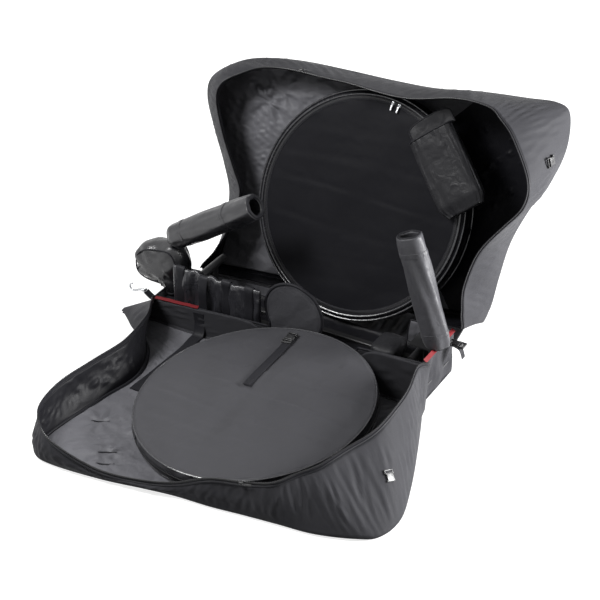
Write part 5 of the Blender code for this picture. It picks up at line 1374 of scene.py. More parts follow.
def puffed(piece):
    """Swells a closed pad by a short cloth simulation that keeps each point near its place."""
    frames, reach = 20, 0.006
    scene = bpy.context.scene
    even = piece.modifiers.new("even mesh", "REMESH")
    even.mode = "VOXEL"
    even.voxel_size = 0.005
    apply_modifiers(piece)
    before = np.array([v.co for v in piece.data.vertices])
    cloth = piece.modifiers.new("cloth", "CLOTH")
    settings = cloth.settings
    settings.quality = 5
    settings.mass = 0.3
    settings.use_pressure = True
    settings.uniform_pressure_force = 4.0
    settings.tension_stiffness = settings.compression_stiffness = 12
    settings.bending_stiffness = 0.6
    settings.effector_weights.gravity = 0
    cloth.collision_settings.use_collision = False
    cloth.point_cache.frame_start = 1
    cloth.point_cache.frame_end = frames
    for step in range(1, frames + 1):
        scene.frame_set(step)
    graph = bpy.context.evaluated_depsgraph_get()
    after = np.array([v.co for v in piece.evaluated_get(graph).data.vertices])
    piece.modifiers.remove(cloth)
    scene.frame_set(1)
    shift = after - before
    length = np.linalg.norm(shift, axis=1, keepdims=True) + 1e-12
    shift *= np.minimum(length, reach) / length
    after = before + shift
    after[:, 2] = np.maximum(after[:, 2], before[:, 2].min())
    piece.data.vertices.foreach_set("co", after.ravel())
    piece.data.update()
    finer = piece.modifiers.new("smooth cloth", "SUBSURF")
    finer.levels = finer.render_levels = 1


def apply_modifiers(piece):
    graph = bpy.context.evaluated_depsgraph_get()
    mesh = bpy.data.meshes.new_from_object(piece.evaluated_get(graph))
    old = piece.data
    piece.modifiers.clear()
    piece.data = mesh
    mesh.shade_smooth()
    bpy.data.meshes.remove(old)


def build_rear_cushion():
    foot, ledge = BOARD_TOP + 0.0006, seam_height(0) + 0.0045
    rear, front, height, inside = REAR_PAD_X[0], REAR_PAD_X[1], REAR_PAD_TOP, 0.008
    outline = [
        (inside, foot), (front * 0.75, foot), (front, foot + (height - foot) * 0.25),
        (front, foot + (height - foot) * 0.7), (front * 0.6, height * 0.99), (front * -0.2, height),
        (rear * 0.65, height * 0.93), (rear * 0.93, height * 0.80), (rear, height * 0.62),
        (rear * 0.92, height * 0.47), (rear * 0.60, ledge * 1.04), (rear * 0.12, ledge), (inside, ledge),
    ]
    outline = smooth_rows(outline, 6)
    middle = outline.mean(axis=0)

    def section(share, fit):
        size = max(0.05, (1 - abs(share) ** 3.2)) ** (1 / 3.2) * fit
        ring = middle + (outline - middle) * size
        ring[:, 1] = np.maximum(ring[:, 1], np.where(ring[:, 0] < inside, ledge, foot))
        return np.column_stack([ring[:, 0], np.full(len(ring), share * REAR_PAD_HALF_WIDTH), ring[:, 1]])

    sections = [section(share, 0.98) for share in np.sin(np.linspace(-math.pi / 2, math.pi / 2, 26))]
    swept_pad("rear_cushion", in_base(sections), "base", "rear_pad", shiny_padding(), 91, 0.0034)
    rim = [
        tube_mesh(resample(in_base(section(share, 0.995)), 0.006, True), 0.0024, 8, closed=True)
        for share in (-0.80, 0.80)
    ]
    make_piece("rear_cushion_piping", *joined_meshes(*rim), "base", "webbing", webbing())


def sleeve_grid(route, radius_u, radius_v, wall, seed, crease, around):
    """An open padded tube: its outer rings and the rings of its bore, end to end."""
    route = np.asarray(route, float)
    tangent = np.gradient(route, axis=0)
    tangent /= np.linalg.norm(tangent, axis=1, keepdims=True)
    across = np.array([0.0, 1.0, 0.0])
    up = np.cross(tangent, across)
    up /= np.linalg.norm(up, axis=1, keepdims=True)
    sides = 48
    turn = 2 * math.pi * np.arange(sides) / sides
    u, v = (turn / (2 * math.pi))[None, :], np.linspace(0, 1, len(route))[:, None]
    field = crease * waves(u, v, seed, 9, around, (-2.5, 2.5))
    ru, rv = radius_u[:, None], radius_v[:, None]

    def rings(shrink, bumps):
        a, b = (ru - shrink + bumps)[..., None], (rv - shrink + bumps)[..., None]
        c, s = np.cos(turn)[None, :, None], np.sin(turn)[None, :, None]
        return route[:, None] + a * c * up[:, None] + b * s * across

    return rings(0, field), rings(wall, field * 0.3)


def build_sleeve(
    name, route, radius_u, radius_v, wall, body, node, seed, bands, finish, crease, around=(4, 11)
):
    """A padded sleeve with bound ends, and stitched bands at shares of its length."""
    outer, inner = sleeve_grid(in_base(route), radius_u, radius_v, wall, seed, crease, around)
    lip_first = (outer[0] + inner[0]) / 2
    lip_last = (outer[-1] + inner[-1]) / 2
    grid = np.concatenate([outer, lip_last[None], inner[::-1], lip_first[None]])
    rows, columns = grid.shape[:2]
    faces = grid_faces(rows, columns) + end_faces(rows, columns, closed=True)
    sleeve = make_piece(name, grid, faces, body, "padding", finish, stands_for=[node], angle=0)
    trims = [
        tube_mesh(resample(lip, 0.004, True), wall * 0.42, 10, closed=True) for lip in (lip_first, lip_last)
    ]
    make_piece(f"{name}_binding", *joined_meshes(*trims), body, "webbing", webbing())
    seams = []
    for share in bands:
        row = int(share * (len(outer) - 1))
        centre = outer[row].mean(axis=0)
        out = outer[row] - centre
        out /= np.linalg.norm(out, axis=1, keepdims=True)
        along = outer[row + 1].mean(axis=0) - outer[row - 1].mean(axis=0)
        along /= np.linalg.norm(along)
        for offset in (-0.0045, 0.0045):
            seams.append(stitches(outer[row] + out * 0.0007 + along * offset, out, closed=True))
        band = ribbon_mesh(outer[row] + out * 0.0004, out, 0.014, 0.0012, closed=True)
        make_piece(f"{name}_band_{row}", *band, body, "padding", finish)
    lengthwise = outer[2:-2, 14]
    out = lengthwise - outer[2:-2].mean(axis=1)
    seams.append(stitches(lengthwise + out * 0.02, out))
    make_piece(f"{name}_stitches", *joined_meshes(*seams), body, "webbing", padded_cloth(), angle=0)


def build_stay_sleeve():
    route = smooth_rows([(x, 0, z) for x, z in STAY_SLEEVE_ROUTE], 16, closed=False)
    share = np.linspace(0, 1, len(route))
    swell = np.interp(share, (0, 0.06, 0.33, 0.66, 1), (0.82, 0.97, 1.0, 0.97, 0.92))
    radius = (STAY_SLEEVE_RADIUS + 0.006) * swell
    build_sleeve(
        "stay_sleeve_cover", route, radius, radius, 0.014, "base", "stay_sleeve", 101, (0.20, 0.68),
        sleeve_gloss(), 0.0022,
    )


def build_fork_sleeve():
    low, high = (np.array([x, SLEEVE_Y, z]) for x, z in (SLEEVE_BOTTOM, SLEEVE_TOP))
    share = np.linspace(0, 1, 60)[:, None]
    route = low * (1 - share) + high * share
    swell = np.interp(share[:, 0], (0, 0.06, 0.35, 0.65, 0.94, 1), (0.85, 0.99, 0.98, 1.0, 0.98, 0.91))
    build_sleeve(
        "fork_sleeve_cover", route, SLEEVE_RADII[0] * swell, SLEEVE_RADII[1] * swell, 0.010, "front_stand",
        "fork_sleeve", 107, (0.12, 0.86), padded_cloth(), 0.0026, (3, 8),
    )


def build_foot_pad():
    low, high = FOOT_PAD_X
    foot = RAIL_TOP + 0.0006
    outline = []
    half_x, half_z = (high - low) / 2, FOOT_PAD_HEIGHT / 2
    for k in range(56):
        turn = 2 * math.pi * k / 56
        c, s = (math.copysign(abs(part) ** 0.42, part) for part in (math.cos(turn), math.sin(turn)))
        outline.append(((low + high) / 2 + half_x * c, foot + half_z + half_z * s))
    outline = np.array(outline)
    middle = outline.mean(axis=0)
    sections = []
    for share in np.sin(np.linspace(-math.pi / 2, math.pi / 2, 26)):
        size = max(0.05, (1 - abs(share) ** 5)) ** (1 / 5) * 0.97
        ring = middle + (outline - middle) * size
        y = np.full(len(ring), share * FOOT_PAD_HALF_WIDTH)
        sections.append(np.column_stack([ring[:, 0], y, ring[:, 1]]))
    swept_pad(
        "fork_foot_cushion", in_base(sections), "front_stand", "fork_foot_pad", webbing_pad(), 113, 0.0010,
    )


def build_skirt():
    """A gathered, padded strip with straps sewn over it, beside the near wall."""
    low, high = SKIRT_X
    foot = BOARD_TOP + 0.0006
    half = SKIRT_THICKNESS / 2
    columns = 150
    profile = []
    for k in range(44):
        t = k / 43
        if t < 0.44:
            profile.append((-half, t / 0.44))
        elif t < 0.56:
            turn = math.pi * (t - 0.44) / 0.12
            profile.append((-half * math.cos(turn), 1 + 0.055 * math.sin(turn)))
        else:
            profile.append((half, 1 - (t - 0.56) / 0.44))
    profile = np.array(profile)
    share = np.linspace(0, 1, columns)
    gather = waves(share, share * 0, 121, 6, (2, 6), (0, 0))
    fine = waves(share, share * 0, 122, 8, (10, 22), (0, 0), ridged=True)
    sections = []
    for i, part in enumerate(share):
        x = low + (high - low) * part
        top = SKIRT_TOP - 0.007 - SKIRT_SWELL * math.sin(math.pi * part) + 0.003 * gather[i]
        z = foot + (top - foot) * profile[:, 1]
        loose = np.sin(math.pi * np.clip(profile[:, 1], 0, 1) * 0.9)
        y = SKIRT_Y + profile[:, 0] * (0.75 + 0.45 * loose) + (0.0058 * gather[i] + 0.0007 * fine[i]) * loose
        y += 0.0014 * np.sin(z * 70 + 3 * gather[i] + 9 * part)
        end = min(1, min(part, 1 - part) * 26) ** 0.5
        y = SKIRT_Y + (y - SKIRT_Y) * (0.25 + 0.75 * end)
        sections.append(np.column_stack([np.full(len(z), x), y, z]))
    grid = in_base(np.array(sections))
    rows, around = grid.shape[:2]
    faces = grid_faces(rows, around) + end_faces(rows, around, closed=False)
    skirt = make_piece(
        "stay_skirt_cloth", grid, faces, "base", "padding", wall_sheen(), stands_for=["stay_skirt"], angle=0
    )
    for i, part in enumerate((0.10, 0.37, 0.62, 0.88)):
        column = int(part * (columns - 1))
        line = grid[column]
        path = resample(line, 0.004)
        out = path - np.array([0, SKIRT_Y + BAG_START.y, 0])
        out[:, 0] = 0
        out[:, 2] = np.maximum(0, path[:, 2] - (foot + (SKIRT_TOP - foot) * 0.93)) * 3
        out /= np.linalg.norm(out, axis=1, keepdims=True)
        strap = ribbon_mesh(path + out * 0.0022, out, 0.030, 0.0020)
        strap = make_piece(f"skirt_strap_{i}", *strap, "base", "webbing", webbing())
        path_length(path)


def guard_bend(points):
    """How far the round guard waves to one side at each (x, z)."""
    x, z = points[:, 0], points[:, 1]
    return 0.0022 * np.sin(x * 26 + z * 17) + 0.0010 * np.sin(x * 71 - z * 55)


def build_guard():
    """A round flap with a bound rim that stands on the board."""
    foot = BOARD_TOP + 0.0006
    turns = np.linspace(-0.62, math.pi + 0.62, 90)
    centre = np.array([GUARD_X, GUARD_CENTRE_HEIGHT])
    edge = centre + GUARD_RADIUS * 0.985 * np.column_stack([np.cos(turns), np.sin(turns)])
    edge[:, 0] = np.clip(edge[:, 0], GUARD_X - GUARD_RADIUS, GUARD_X + GUARD_RADIUS)
    edge = edge[edge[:, 1] > foot]
    ends = np.linspace(edge[-1], edge[0], 40)[1:-1]
    ends[:, 1] = foot
    edge[[0, -1], 1] = foot
    ring = np.vstack([edge, ends])
    middle = ring.mean(axis=0)
    sections = []
    half = GUARD_THICKNESS / 2
    profile = [
        (0.10, 1.02), (0.35, 1.03), (0.60, 1.0), (0.80, 0.92), (0.90, 0.80), (0.945, 0.62), (0.965, 0.62),
        (1.0, 0.0),
    ]
    profile = [(r, -d) for r, d in profile] + [(r, d) for r, d in profile[::-1][1:]]
    for share, depth in profile:
        flat = middle + (ring - middle) * share
        y = GUARD_Y + depth * half * 0.92 + guard_bend(flat) * (1 - 0.3 * share)
        sections.append(np.column_stack([flat[:, 0], y, flat[:, 1]]))
    swept_pad(
        "guard_flap", in_base(sections), "base", "chainring_guard", padded_cloth(), 131, 0.0, swell=False,
    )
    bend = guard_bend(edge)
    path = in_base(np.column_stack([edge[:, 0], GUARD_Y + bend * 0.7, edge[:, 1]]))
    make_piece("guard_binding", *tube_mesh(resample(path, 0.005), 0.0052, 10), "base", "webbing", webbing())
    inner = centre + (edge - centre) * 0.90
    keep = inner[:, 1] > foot + 0.01
    rows = []
    for side in (-1, 1):
        y = GUARD_Y + bend * 0.75 + side * half * 0.86
        line = in_base(np.column_stack([inner[:, 0], y, inner[:, 1]]))[keep]
        rows.append(stitches(line, (0, side, 0)))
    make_piece("guard_stitches", *joined_meshes(*rows), "base", "webbing", disc_cloth(), angle=0)


# Base


def build_base():
    """Outer cloth of the base with its bound edge, stitches, floor web, lining, red tapes and the far hinge web."""
    half, length, radius = BASE_HALF_WIDTH, BASE_LENGTH, 0.008
    corners = [
        (radius, -half + radius, 1.0), (length - radius, -half + radius, 1.5),
        (length - radius, half - radius, 2.0), (radius, half - radius, 2.5),
    ]
    plan = []
    for x, y, start in corners:
        for k in range(7):
            turn = math.pi * (start + k / 12)
            plan.append((x + radius * math.cos(turn), y + radius * math.sin(turn)))
    plan = resample(np.array(plan), 0.0045, closed=True)
    outward = outward_in_plane(plan)
    x, y = plan[:, 0], plan[:, 1]
    top = seam_height(x) - 0.0020
    near_cut = smoothstep(0.152, 0.140, np.abs(x - NEAR_BAG_PLACE[0])) * (y < -half + 0.004)
    far_cut = smoothstep(0.222, 0.210, np.abs(x - FAR_POCKET_PLACE[0])) * (y > half - 0.004)
    top = top * (1 - near_cut) + (BOARD_TOP + 0.006) * near_cut
    top = top * (1 - far_cut) + (BOARD_TOP - 0.002) * far_cut
    levels = np.linspace(0, 1, 20)
    u, v = np.linspace(0, 1, len(plan), endpoint=False)[None, :], levels[:, None]
    nose = smoothstep(length - 0.010, length - 0.001, x)[None, :]
    field = (0.0016 + 0.0048 * nose) * waves(u, v, 141, 8, (10, 34), (-1, 1))
    field = field + 0.0010 * waves(u, v, 142, 8, (40, 90), (-2, 2), ridged=True)
    field = field * np.sin(math.pi * (0.08 + 0.84 * v)) - 0.0012
    z = SKIRT_CLEARANCE + (top - SKIRT_CLEARANCE)[None, :] * v
    flat = plan[None] + outward[None] * field[..., None]
    wall = in_base(np.concatenate([flat, z[..., None]], axis=2))
    cloth = make_piece(
        "base_cloth", wall, grid_faces(*wall.shape[:2]), "base", "nylon", outer_cloth(), pad_lining(),
        stands_for=["base_pan"], outward=False, angle=0,
    )
    solid = thicken(cloth, 0.0024)
    solid.material_offset = 1
    solid.material_offset_rim = 0
    if cloth.data.polygons[5].normal.dot(Vector((*outward[5], 0))) < 0:
        cloth.data.flip_normals()
    edge = np.column_stack([plan - outward * 0.0018, top + 0.0006])
    hem = np.column_stack([plan - outward * 0.0020, np.full(len(plan), SKIRT_CLEARANCE + 0.0012)])
    trims = [tube_mesh(resample(in_base(edge), 0.005, True), 0.0030, 8, closed=True),
             tube_mesh(resample(in_base(hem), 0.005, True), 0.0026, 8, closed=True)]
    make_piece("base_binding", *joined_meshes(*trims), "base", "webbing", webbing())
    out = np.column_stack([outward, np.zeros(len(plan))])
    rows = [
        stitches(in_base(np.column_stack([plan + outward * 0.0004, top - drop])), out, closed=True)
        for drop in (0.0075, 0.0120)
    ]
    make_piece("base_stitches", *joined_meshes(*rows), "base", "webbing", padded_cloth(), angle=0)
    across = np.linspace(-half + 0.006, half - 0.006, 26)
    grid_x, grid_y = np.meshgrid(np.linspace(0.006, length - 0.006, 110), across)
    web = 0.0480 + 0.0006 * waves(grid_x, grid_y / 0.3, 145, 8, (2, 12), (-4, 4))
    floor = make_piece(
        "base_web", in_base(np.stack([grid_x, grid_y, web], axis=2)), grid_faces(*grid_x.shape, wrap=False),
        "base", "nylon", outer_cloth(), angle=0,
    )
    thicken(floor, 0.0020, 0)
    build_base_lining(length, half)
    build_red_edges(length, half)
    build_hinge_cloth(half)


def build_hinge_cloth(half):
    """A loose web under the far wheel pocket, sewn to the base's lower edge and to the far half."""
    x = np.linspace(0.020, 0.905, 220)
    share = np.linspace(0, 1, 22)
    radius = WHEEL_BAG_RADIUS + 0.004
    low = FAR_POCKET_PLACE[1] - np.sqrt(np.maximum(radius**2 - (x - FAR_POCKET_PLACE[0]) ** 2, 0))
    start = in_base(np.column_stack([x, np.full(len(x), half + 0.0032), np.full(len(x), BOARD_TOP - 0.006)]))
    end = in_half(FAR, np.column_stack([x, np.full(len(x), -0.0005), seam_height(x) - 0.001]))
    under = in_half(FAR, np.column_stack([x, low, np.full(len(x), FAR_POCKET_FACE + FAR_POCKET_DEPTH)]))[:, 2]
    sag = np.maximum(0.006, 1.12 * (start[:, 2] - under + 0.006))
    t = share[:, None, None]
    grid = start[None] * (1 - t) + end[None] * t
    ripple = waves(x / 0.5, x * 0, 163, 7, (5, 16), (0, 0))
    grid[..., 2] -= (4 * share * (1 - share))[:, None] * (sag + 0.0022 * ripple)[None]
    grid[..., 1] += 0.0016 * np.sin(math.pi * share)[:, None] * ripple[None]
    web = make_piece(
        "far_hinge_web", grid, grid_faces(*grid.shape[:2], wrap=False), None, "nylon", webbing_pad(),
        outward=False, angle=0,
    )
    thicken(web, 0.0016, 0)
    apply_modifiers(web)
    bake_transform(web)


def build_base_lining(length, half):
    """A loose, shiny lining over the board, bunched toward the nose."""
    x = np.linspace(0.008, length - 0.008, 220)
    y = np.linspace(-half + 0.0065, half - 0.0065, 60)
    xx, yy = np.meshgrid(x, y)
    nose = smoothstep(0.62, 0.90, xx) * (1 - smoothstep(0.90, 0.915, xx))
    rumple = waves(xx / length, yy / 0.4, 151, 10, (2, 14), (-6, 6), ridged=True)
    zz = BOARD_TOP + 0.0014 + np.abs(0.0012 * rumple) + 0.006 * nose * np.maximum(0, rumple + 0.3)
    rail = np.exp(-((np.abs(yy) - RAIL_OFFSET) / 0.016) ** 4) * (xx > 0.07)
    zz = zz * (1 - rail) + (BOARD_TOP + 0.0006) * rail
    wall_gap = np.minimum(yy + half - 0.0065, half - 0.0065 - yy)
    zz = zz + 0.012 * np.exp(-wall_gap / 0.006)
    lining = make_piece(
        "base_lining", in_base(np.stack([xx, yy, zz], axis=2)), grid_faces(*xx.shape, wrap=False), "base",
        "lining", wall_lining(), angle=0,
    )
    if lining.data.polygons[0].normal.z < 0:
        lining.data.flip_normals()
    thicken(lining, 0.0006)


def build_red_edges(length, half):
    low, high = 0.012, 0.170
    x = np.linspace(low, high, 40)
    lift = 0.0004 * waves(x / length, x * 0, 155, 5, (8, 30), (0, 0))
    path = np.column_stack([x, -half + 0.0010 + lift, seam_height(x) + 0.0038 + lift])
    tape = make_piece(
        "rear_edge_tape", *ribbon_mesh(in_base(path), (0, -0.35, 1), 0.0115, 0.0014), "base", "red_tape",
        red_tape(), stands_for=["rear_red_tape"],
    )
    y = np.linspace(-half + 0.008, half - 0.008, 48)
    lift = 0.0004 * waves(y / 0.2, y * 0, 156, 5, (2, 7), (0, 0))
    path = np.column_stack([length + 0.0002 + lift, y, seam_height(length) + 0.0034 + lift])
    tape = make_piece(
        "nose_edge_tape", *ribbon_mesh(in_base(path), (0.8, 0, 1), 0.0130, 0.0014), "base", "red_tape",
        red_tape(), stands_for=["nose_red_tape"],
    )


# Straps and buckles


def buckle_socket(matrix):
    """The hollow half of a side-release buckle: two plates, side rails and a bar for the webbing."""
    length, width, height = BUCKLE_SIZE
    plate = rounded_block((length * 0.66, width * 0.80, height * 0.24), 0.0012)
    parts = [
        moved(plate, (length * 0.64, 0, height * 0.87)),
        moved(plate, (length * 0.64, 0, height * 0.12)),
        moved(rounded_block((length * 0.10, width, height * 0.62), 0.0012), (length * 0.055, 0, height * 0.45)),
        moved(rounded_block((length * 0.14, width, height * 0.92), 0.0014), (length * 0.33, 0, height * 0.49)),
        moved(
            rounded_block((length * 0.16, width * 0.98, height * 0.9), 0.0014), (length * 0.90, 0, height * 0.49)
        ),
    ]
    rail = rounded_block((length * 0.36, width * 0.09, height * 0.7), 0.0009)
    parts += [moved(rail, (length * 0.18, side * width * 0.455, height * 0.45)) for side in (-1, 1)]
    rib = rounded_block((0.0011, width * 0.46, 0.0007), 0.0003, 2)
    parts += [moved(rib, (length * (0.52 + 0.085 * k), 0, height * 0.99)) for k in range(4)]
    return placed(joined_meshes(*parts), matrix)


def buckle_tongue(matrix):
    """The solid half: a head with a ladder for the webbing, a middle blade and two side prongs."""
    length, width, height = BUCKLE_SIZE
    start = length + 0.0005
    parts = [
        moved(rounded_block((0.0050, width * 0.98, height * 0.88), 0.0013), (start + 0.0026, 0, height / 2)),
        moved(rounded_block((0.0034, width * 0.98, height * 0.62), 0.0010), (start + 0.0140, 0, height * 0.45)),
        moved(rounded_block((0.0028, width * 0.80, height * 0.40), 0.0009), (start + 0.0088, 0, height * 0.42)),
        moved(
            rounded_block((length * 0.60, width * 0.16, height * 0.34), 0.0009),
            (start - length * 0.28, 0, height * 0.46),
        ),
    ]
    rail = rounded_block((0.0150, width * 0.09, height * 0.7), 0.0009)
    for side in (-1, 1):
        parts.append(moved(rail, (start + 0.0078, side * width * 0.445, height * 0.46)))
        arm = [
            (start - length * back, side * width * out, height * 0.48)
            for back, out in ((0, 0.28), (0.25, 0.34), (0.45, 0.42), (0.60, 0.33))
        ]
        parts.append(tube_mesh(smooth_rows(arm, 5, closed=False), height * 0.19, 8))
    return placed(joined_meshes(*parts), matrix)


def buckle_piece(name, mesh, body, node):
    make_piece(name, *mesh, body, "buckle", plastic(), stands_for=[node], angle=35)


def strap_piece(name, path, up, width, body, node, thickness=0.0018):
    """A band of webbing along a path, with the faces toward up."""
    both = resample(np.hstack([path, np.broadcast_to(up, np.shape(path))]), 0.006)
    path, up = both[:, :3], both[:, 3:]
    band = ribbon_mesh(path, up, width, thickness, crown=0.0001)
    strap = make_piece(name, *band, body, "webbing", webbing(), stands_for=[node])
    path_length(path)


def sewn_box(corner, along, across, up, length, width):
    """A box-and-cross of stitches that holds a strap's end."""
    corner, along, across = np.array(corner), np.array(along), np.array(across)
    a, b = corner, corner + along * length
    c, d = b + across * width, corner + across * width
    lines = [(a, b), (b, c), (c, d), (d, a), (a, c), (b, d)]
    return joined_meshes(*[stitches(np.linspace(p, q, 12), up, radius=0.0005) for p, q in lines])


def build_straps():
    half = half_matrix(NEAR)
    turn = np.array(half)[:3, :3]
    s, out = WHEEL_STRAP_S, NEAR_BAG_FACE - 0.0006
    h = np.linspace(WHEEL_STRAP_H[0], WHEEL_STRAP_H[1], 40)
    sway = 0.003 * np.sin(h * 17)
    lift = np.minimum(0, -0.0045 * (1 - ((h - NEAR_BAG_PLACE[1]) / 0.34) ** 2)) - 0.0028
    path = in_half(NEAR, np.column_stack([s + sway, h, out + lift]))
    face = turn @ np.array([0, 1.0, 0])
    strap_piece(
        "wheel_strap_webbing", path, face, sizes().strap, "near_half", "wheel_strap"
    )
    along = path[-1] - path[-3]
    along /= np.linalg.norm(along)
    across = np.cross(face, along)
    box = sewn_box(path[-1] - along * 0.026 - across * 0.009 + face * 0.0014, along, across, face, 0.022, 0.018)
    flip = Matrix(((0, 1, 0, 0), (0, 0, 1, 0), (1, 0, 0, 0), (0, 0, 0, 1)))
    buckle = half @ Matrix.Translation((s, -(out - 0.0025), WHEEL_STRAP_H[0])) @ flip
    buckle_piece("strap_buckle_body", buckle_socket(buckle), "near_half", "strap_buckle_socket")
    buckle_piece("strap_buckle_prongs", buckle_tongue(buckle), "strap_buckle_tongue", "strap_buckle_tongue")
    build_wide_strap(turn)
    make_piece("strap_stitches", *box, "near_half", "webbing", disc_cloth(), angle=0)
    nose = Matrix.Translation(BAG_START + Vector((
        BASE_LENGTH + 0.0003, BASE_HALF_WIDTH - 1.2 * BUCKLE_SIZE[1],
        seam_height(BASE_LENGTH) - 3 * BUCKLE_SIZE[2],
    )))
    buckle_piece("nose_buckle_body", buckle_socket(nose), "base", "nose_buckle_socket")
    buckle_piece("nose_buckle_prongs", buckle_tongue(nose), "nose_buckle_tongue", "nose_buckle_tongue")
    x, y, z = nose.translation
    tail = [(x + 0.017, y, z - 0.0014), (x + 0.0374, y, z - 0.009), (x + 0.0476, y, z - 0.036)]
    path = smooth_rows(tail, 8, closed=False)
    ahead = np.gradient(path, axis=0)
    up = np.cross(ahead, (0, 1, 0))
    strap_piece("nose_buckle_strap", path, up, 0.020, "base", "nose_buckle_tail")
    for side, name in ((NEAR, "near"), (FAR, "far")):
        build_closure(side, name)


def build_wide_strap(turn):
    """The strap that climbs the near wall and lies on the lining."""
    s = WIDE_STRAP_S

    def pad(h):
        return panel_out(s, h) - PAD_FACE_DEPTH - 0.0028

    route = [(s, 0.0110, 0.0105), (s, 0.0115, 0.030), (s, 0.0140, 0.052)]
    route += [(s, 0.030, pad(0.030) - 0.004), (s, 0.060, pad(0.06) - 0.001)]
    for h in np.linspace(0.10, WIDE_STRAP_END_H, 8):
        route.append((s + 0.004 * math.sin(h * 12), h, pad(h) - 0.0008 * math.sin(h * 40)))
    path = smooth_rows(in_half(NEAR, route), 6, closed=False)
    ahead = np.gradient(path, axis=0)
    up = np.cross(ahead, turn @ np.array([1.0, 0, 0]))
    face = turn @ np.array([0, 1.0, 0])
    if up[-1] @ face < 0:
        up *= np.sign(up @ face + 1e-9)[:, None]
    strap_piece(
        "wide_strap_webbing", path, up, sizes().wide_strap, "near_half", "near_wide_strap",
        thickness=0.0020,
    )


def box_place(node, inside):
    """The frame of a box-shaped CAD node: X along its length, Z away from a point inside the bag."""
    points = np.unique(np.round([v.co for v in frame["nodes"][node].data.vertices], 5), axis=0)
    corner = points[0]
    gaps = np.linalg.norm(points - corner, axis=1)
    axes = []
    for size in BUCKLE_SIZE:
        axes.append((points[np.argmin(np.abs(gaps - size))] - corner) / size)
    x, y, z = axes
    middle = points.mean(axis=0)
    if z @ (middle - np.array(inside)) < 0:
        z = -z
    y = np.cross(z, x)
    matrix = Matrix(np.column_stack([x, y, z]).tolist()).to_4x4()
    matrix.translation = Vector(middle - z * BUCKLE_SIZE[2] / 2 - x * BUCKLE_SIZE[0] / 2)
    return matrix


def build_closure(side, name):
    inside = in_half(side, np.array([[0.55, 0.35, 0.0]]))[0]
    matrix = box_place(f"{name}_closure_buckle", inside)
    buckle_piece(f"{name}_closure_socket", buckle_socket(matrix), f"{name}_half", f"{name}_closure_buckle")


def build_hook():
    """The ring tab at the rear end and the snap hook in it."""
    y = RING_TAB_Y
    route = [(0.0, y, 0.070), (-0.007, y, 0.0702), (-0.020, y, 0.077), (-0.034, y, 0.0875)]
    path = smooth_rows(in_base(route), 6, closed=False)
    up = np.cross((0, 1, 0), np.gradient(path, axis=0))
    strap_piece(
        "rear_tab_webbing", path, up, RING_TAB_WIDTH, "base", "rear_ring_tab", 0.0038
    )
    pivot = np.array(JOINTS["snap_hook_swing"]["pos_m"])
    bar = tube_mesh(np.array([[0, -0.0084, 0], [0, 0.0084, 0]]), 0.0034, 14)
    radius = HOOK_LENGTH * 0.24
    loop = []
    for k in range(25):
        turn = math.radians(-100 + 7.5 * k)
        loop.append((-HOOK_LENGTH + radius * (1 - math.cos(turn)), 0, radius * 0.9 * math.sin(turn)))
    shank = [(-0.002, 0, 0), (-0.012, 0, -0.0002), (-0.022, 0, -0.003), (-0.034, 0, -0.0095)]
    wire = smooth_rows(shank + loop[2:], 2, closed=False)
    radii = (0.0034, 0.0034, 0.0030, 0.0028, 0.0020)
    thick = np.interp(np.linspace(0, 1, len(wire)), (0, 0.12, 0.3, 0.8, 1), radii)
    collar_path = [(x, 0, 0) for x in (-0.004, -0.006, -0.011, -0.013)]
    collar = tube_mesh(collar_path, [0.0034, 0.0046, 0.0046, 0.0036], 14)
    mesh = joined_meshes(bar, tube_mesh(wire, thick, 12), collar)
    make_piece("snap_hook_metal", *moved(mesh, pivot), "snap_hook", "steel", steel(), stands_for=["snap_hook"])


# Castors and frame


def build_castors():
    """The castors' tyres, hubs and axle bolts."""
    edge = [(0.0100, -0.0066), (0.0140, -0.0069), (0.0154, -0.0058), (0.0160, -0.0030)]
    tyre = edge + [(radius, -y) for radius, y in edge[::-1]]
    edge = [(0.0026, -0.0068), (0.0050, -0.0069), (0.0062, -0.0056), (0.0096, -0.0054), (0.0104, -0.0062)]
    hub = edge + [(radius, -y) for radius, y in edge[::-1]]
    for place in ("rear_near", "rear_far", "nose_near", "nose_far"):
        spin = JOINTS[f"castor_spin_{place}"]["pos_m"]
        wheel = joined_meshes(turned(tyre, 48), turned(hub, 40))
        piece = make_piece(
            f"castor_tyre_{place}", *moved(wheel, spin), f"castor_wheel_{place}", "rubber", tyre_rubber(),
            plastic(), stands_for=[f"castor_wheel_{place}"], angle=35,
        )
        centre = Vector(spin)
        for polygon in piece.data.polygons:
            reach = polygon.center - centre
            polygon.material_index = 1 if math.hypot(reach.x, reach.z) < 0.0100 else 0
        caps = []
        for side in (-1, 1):
            head = tube_mesh(np.array([[0, side * 0.0101, 0], [0, side * 0.0108, 0]]) + np.array(spin), 0.0034, 6)
            caps.append(head)
        mesh = joined_meshes(*caps)
        make_piece(f"castor_bolts_{place}", *mesh, f"castor_fork_{place}", "steel", steel(), angle=30)


def turned(profile, sides):
    """A closed ring turned about Y from (radius, y) points."""
    turn = 2 * math.pi * np.arange(sides) / sides
    profile = np.array(profile)
    radius, y = profile[:, :1], np.broadcast_to(profile[:, 1:], (len(profile), sides))
    grid = np.stack([radius * np.cos(turn), y, radius * np.sin(turn)], axis=2)
    faces = grid_faces(len(profile), sides) + end_faces(len(profile), sides, closed=True)
    return grid.reshape(-1, 3), faces


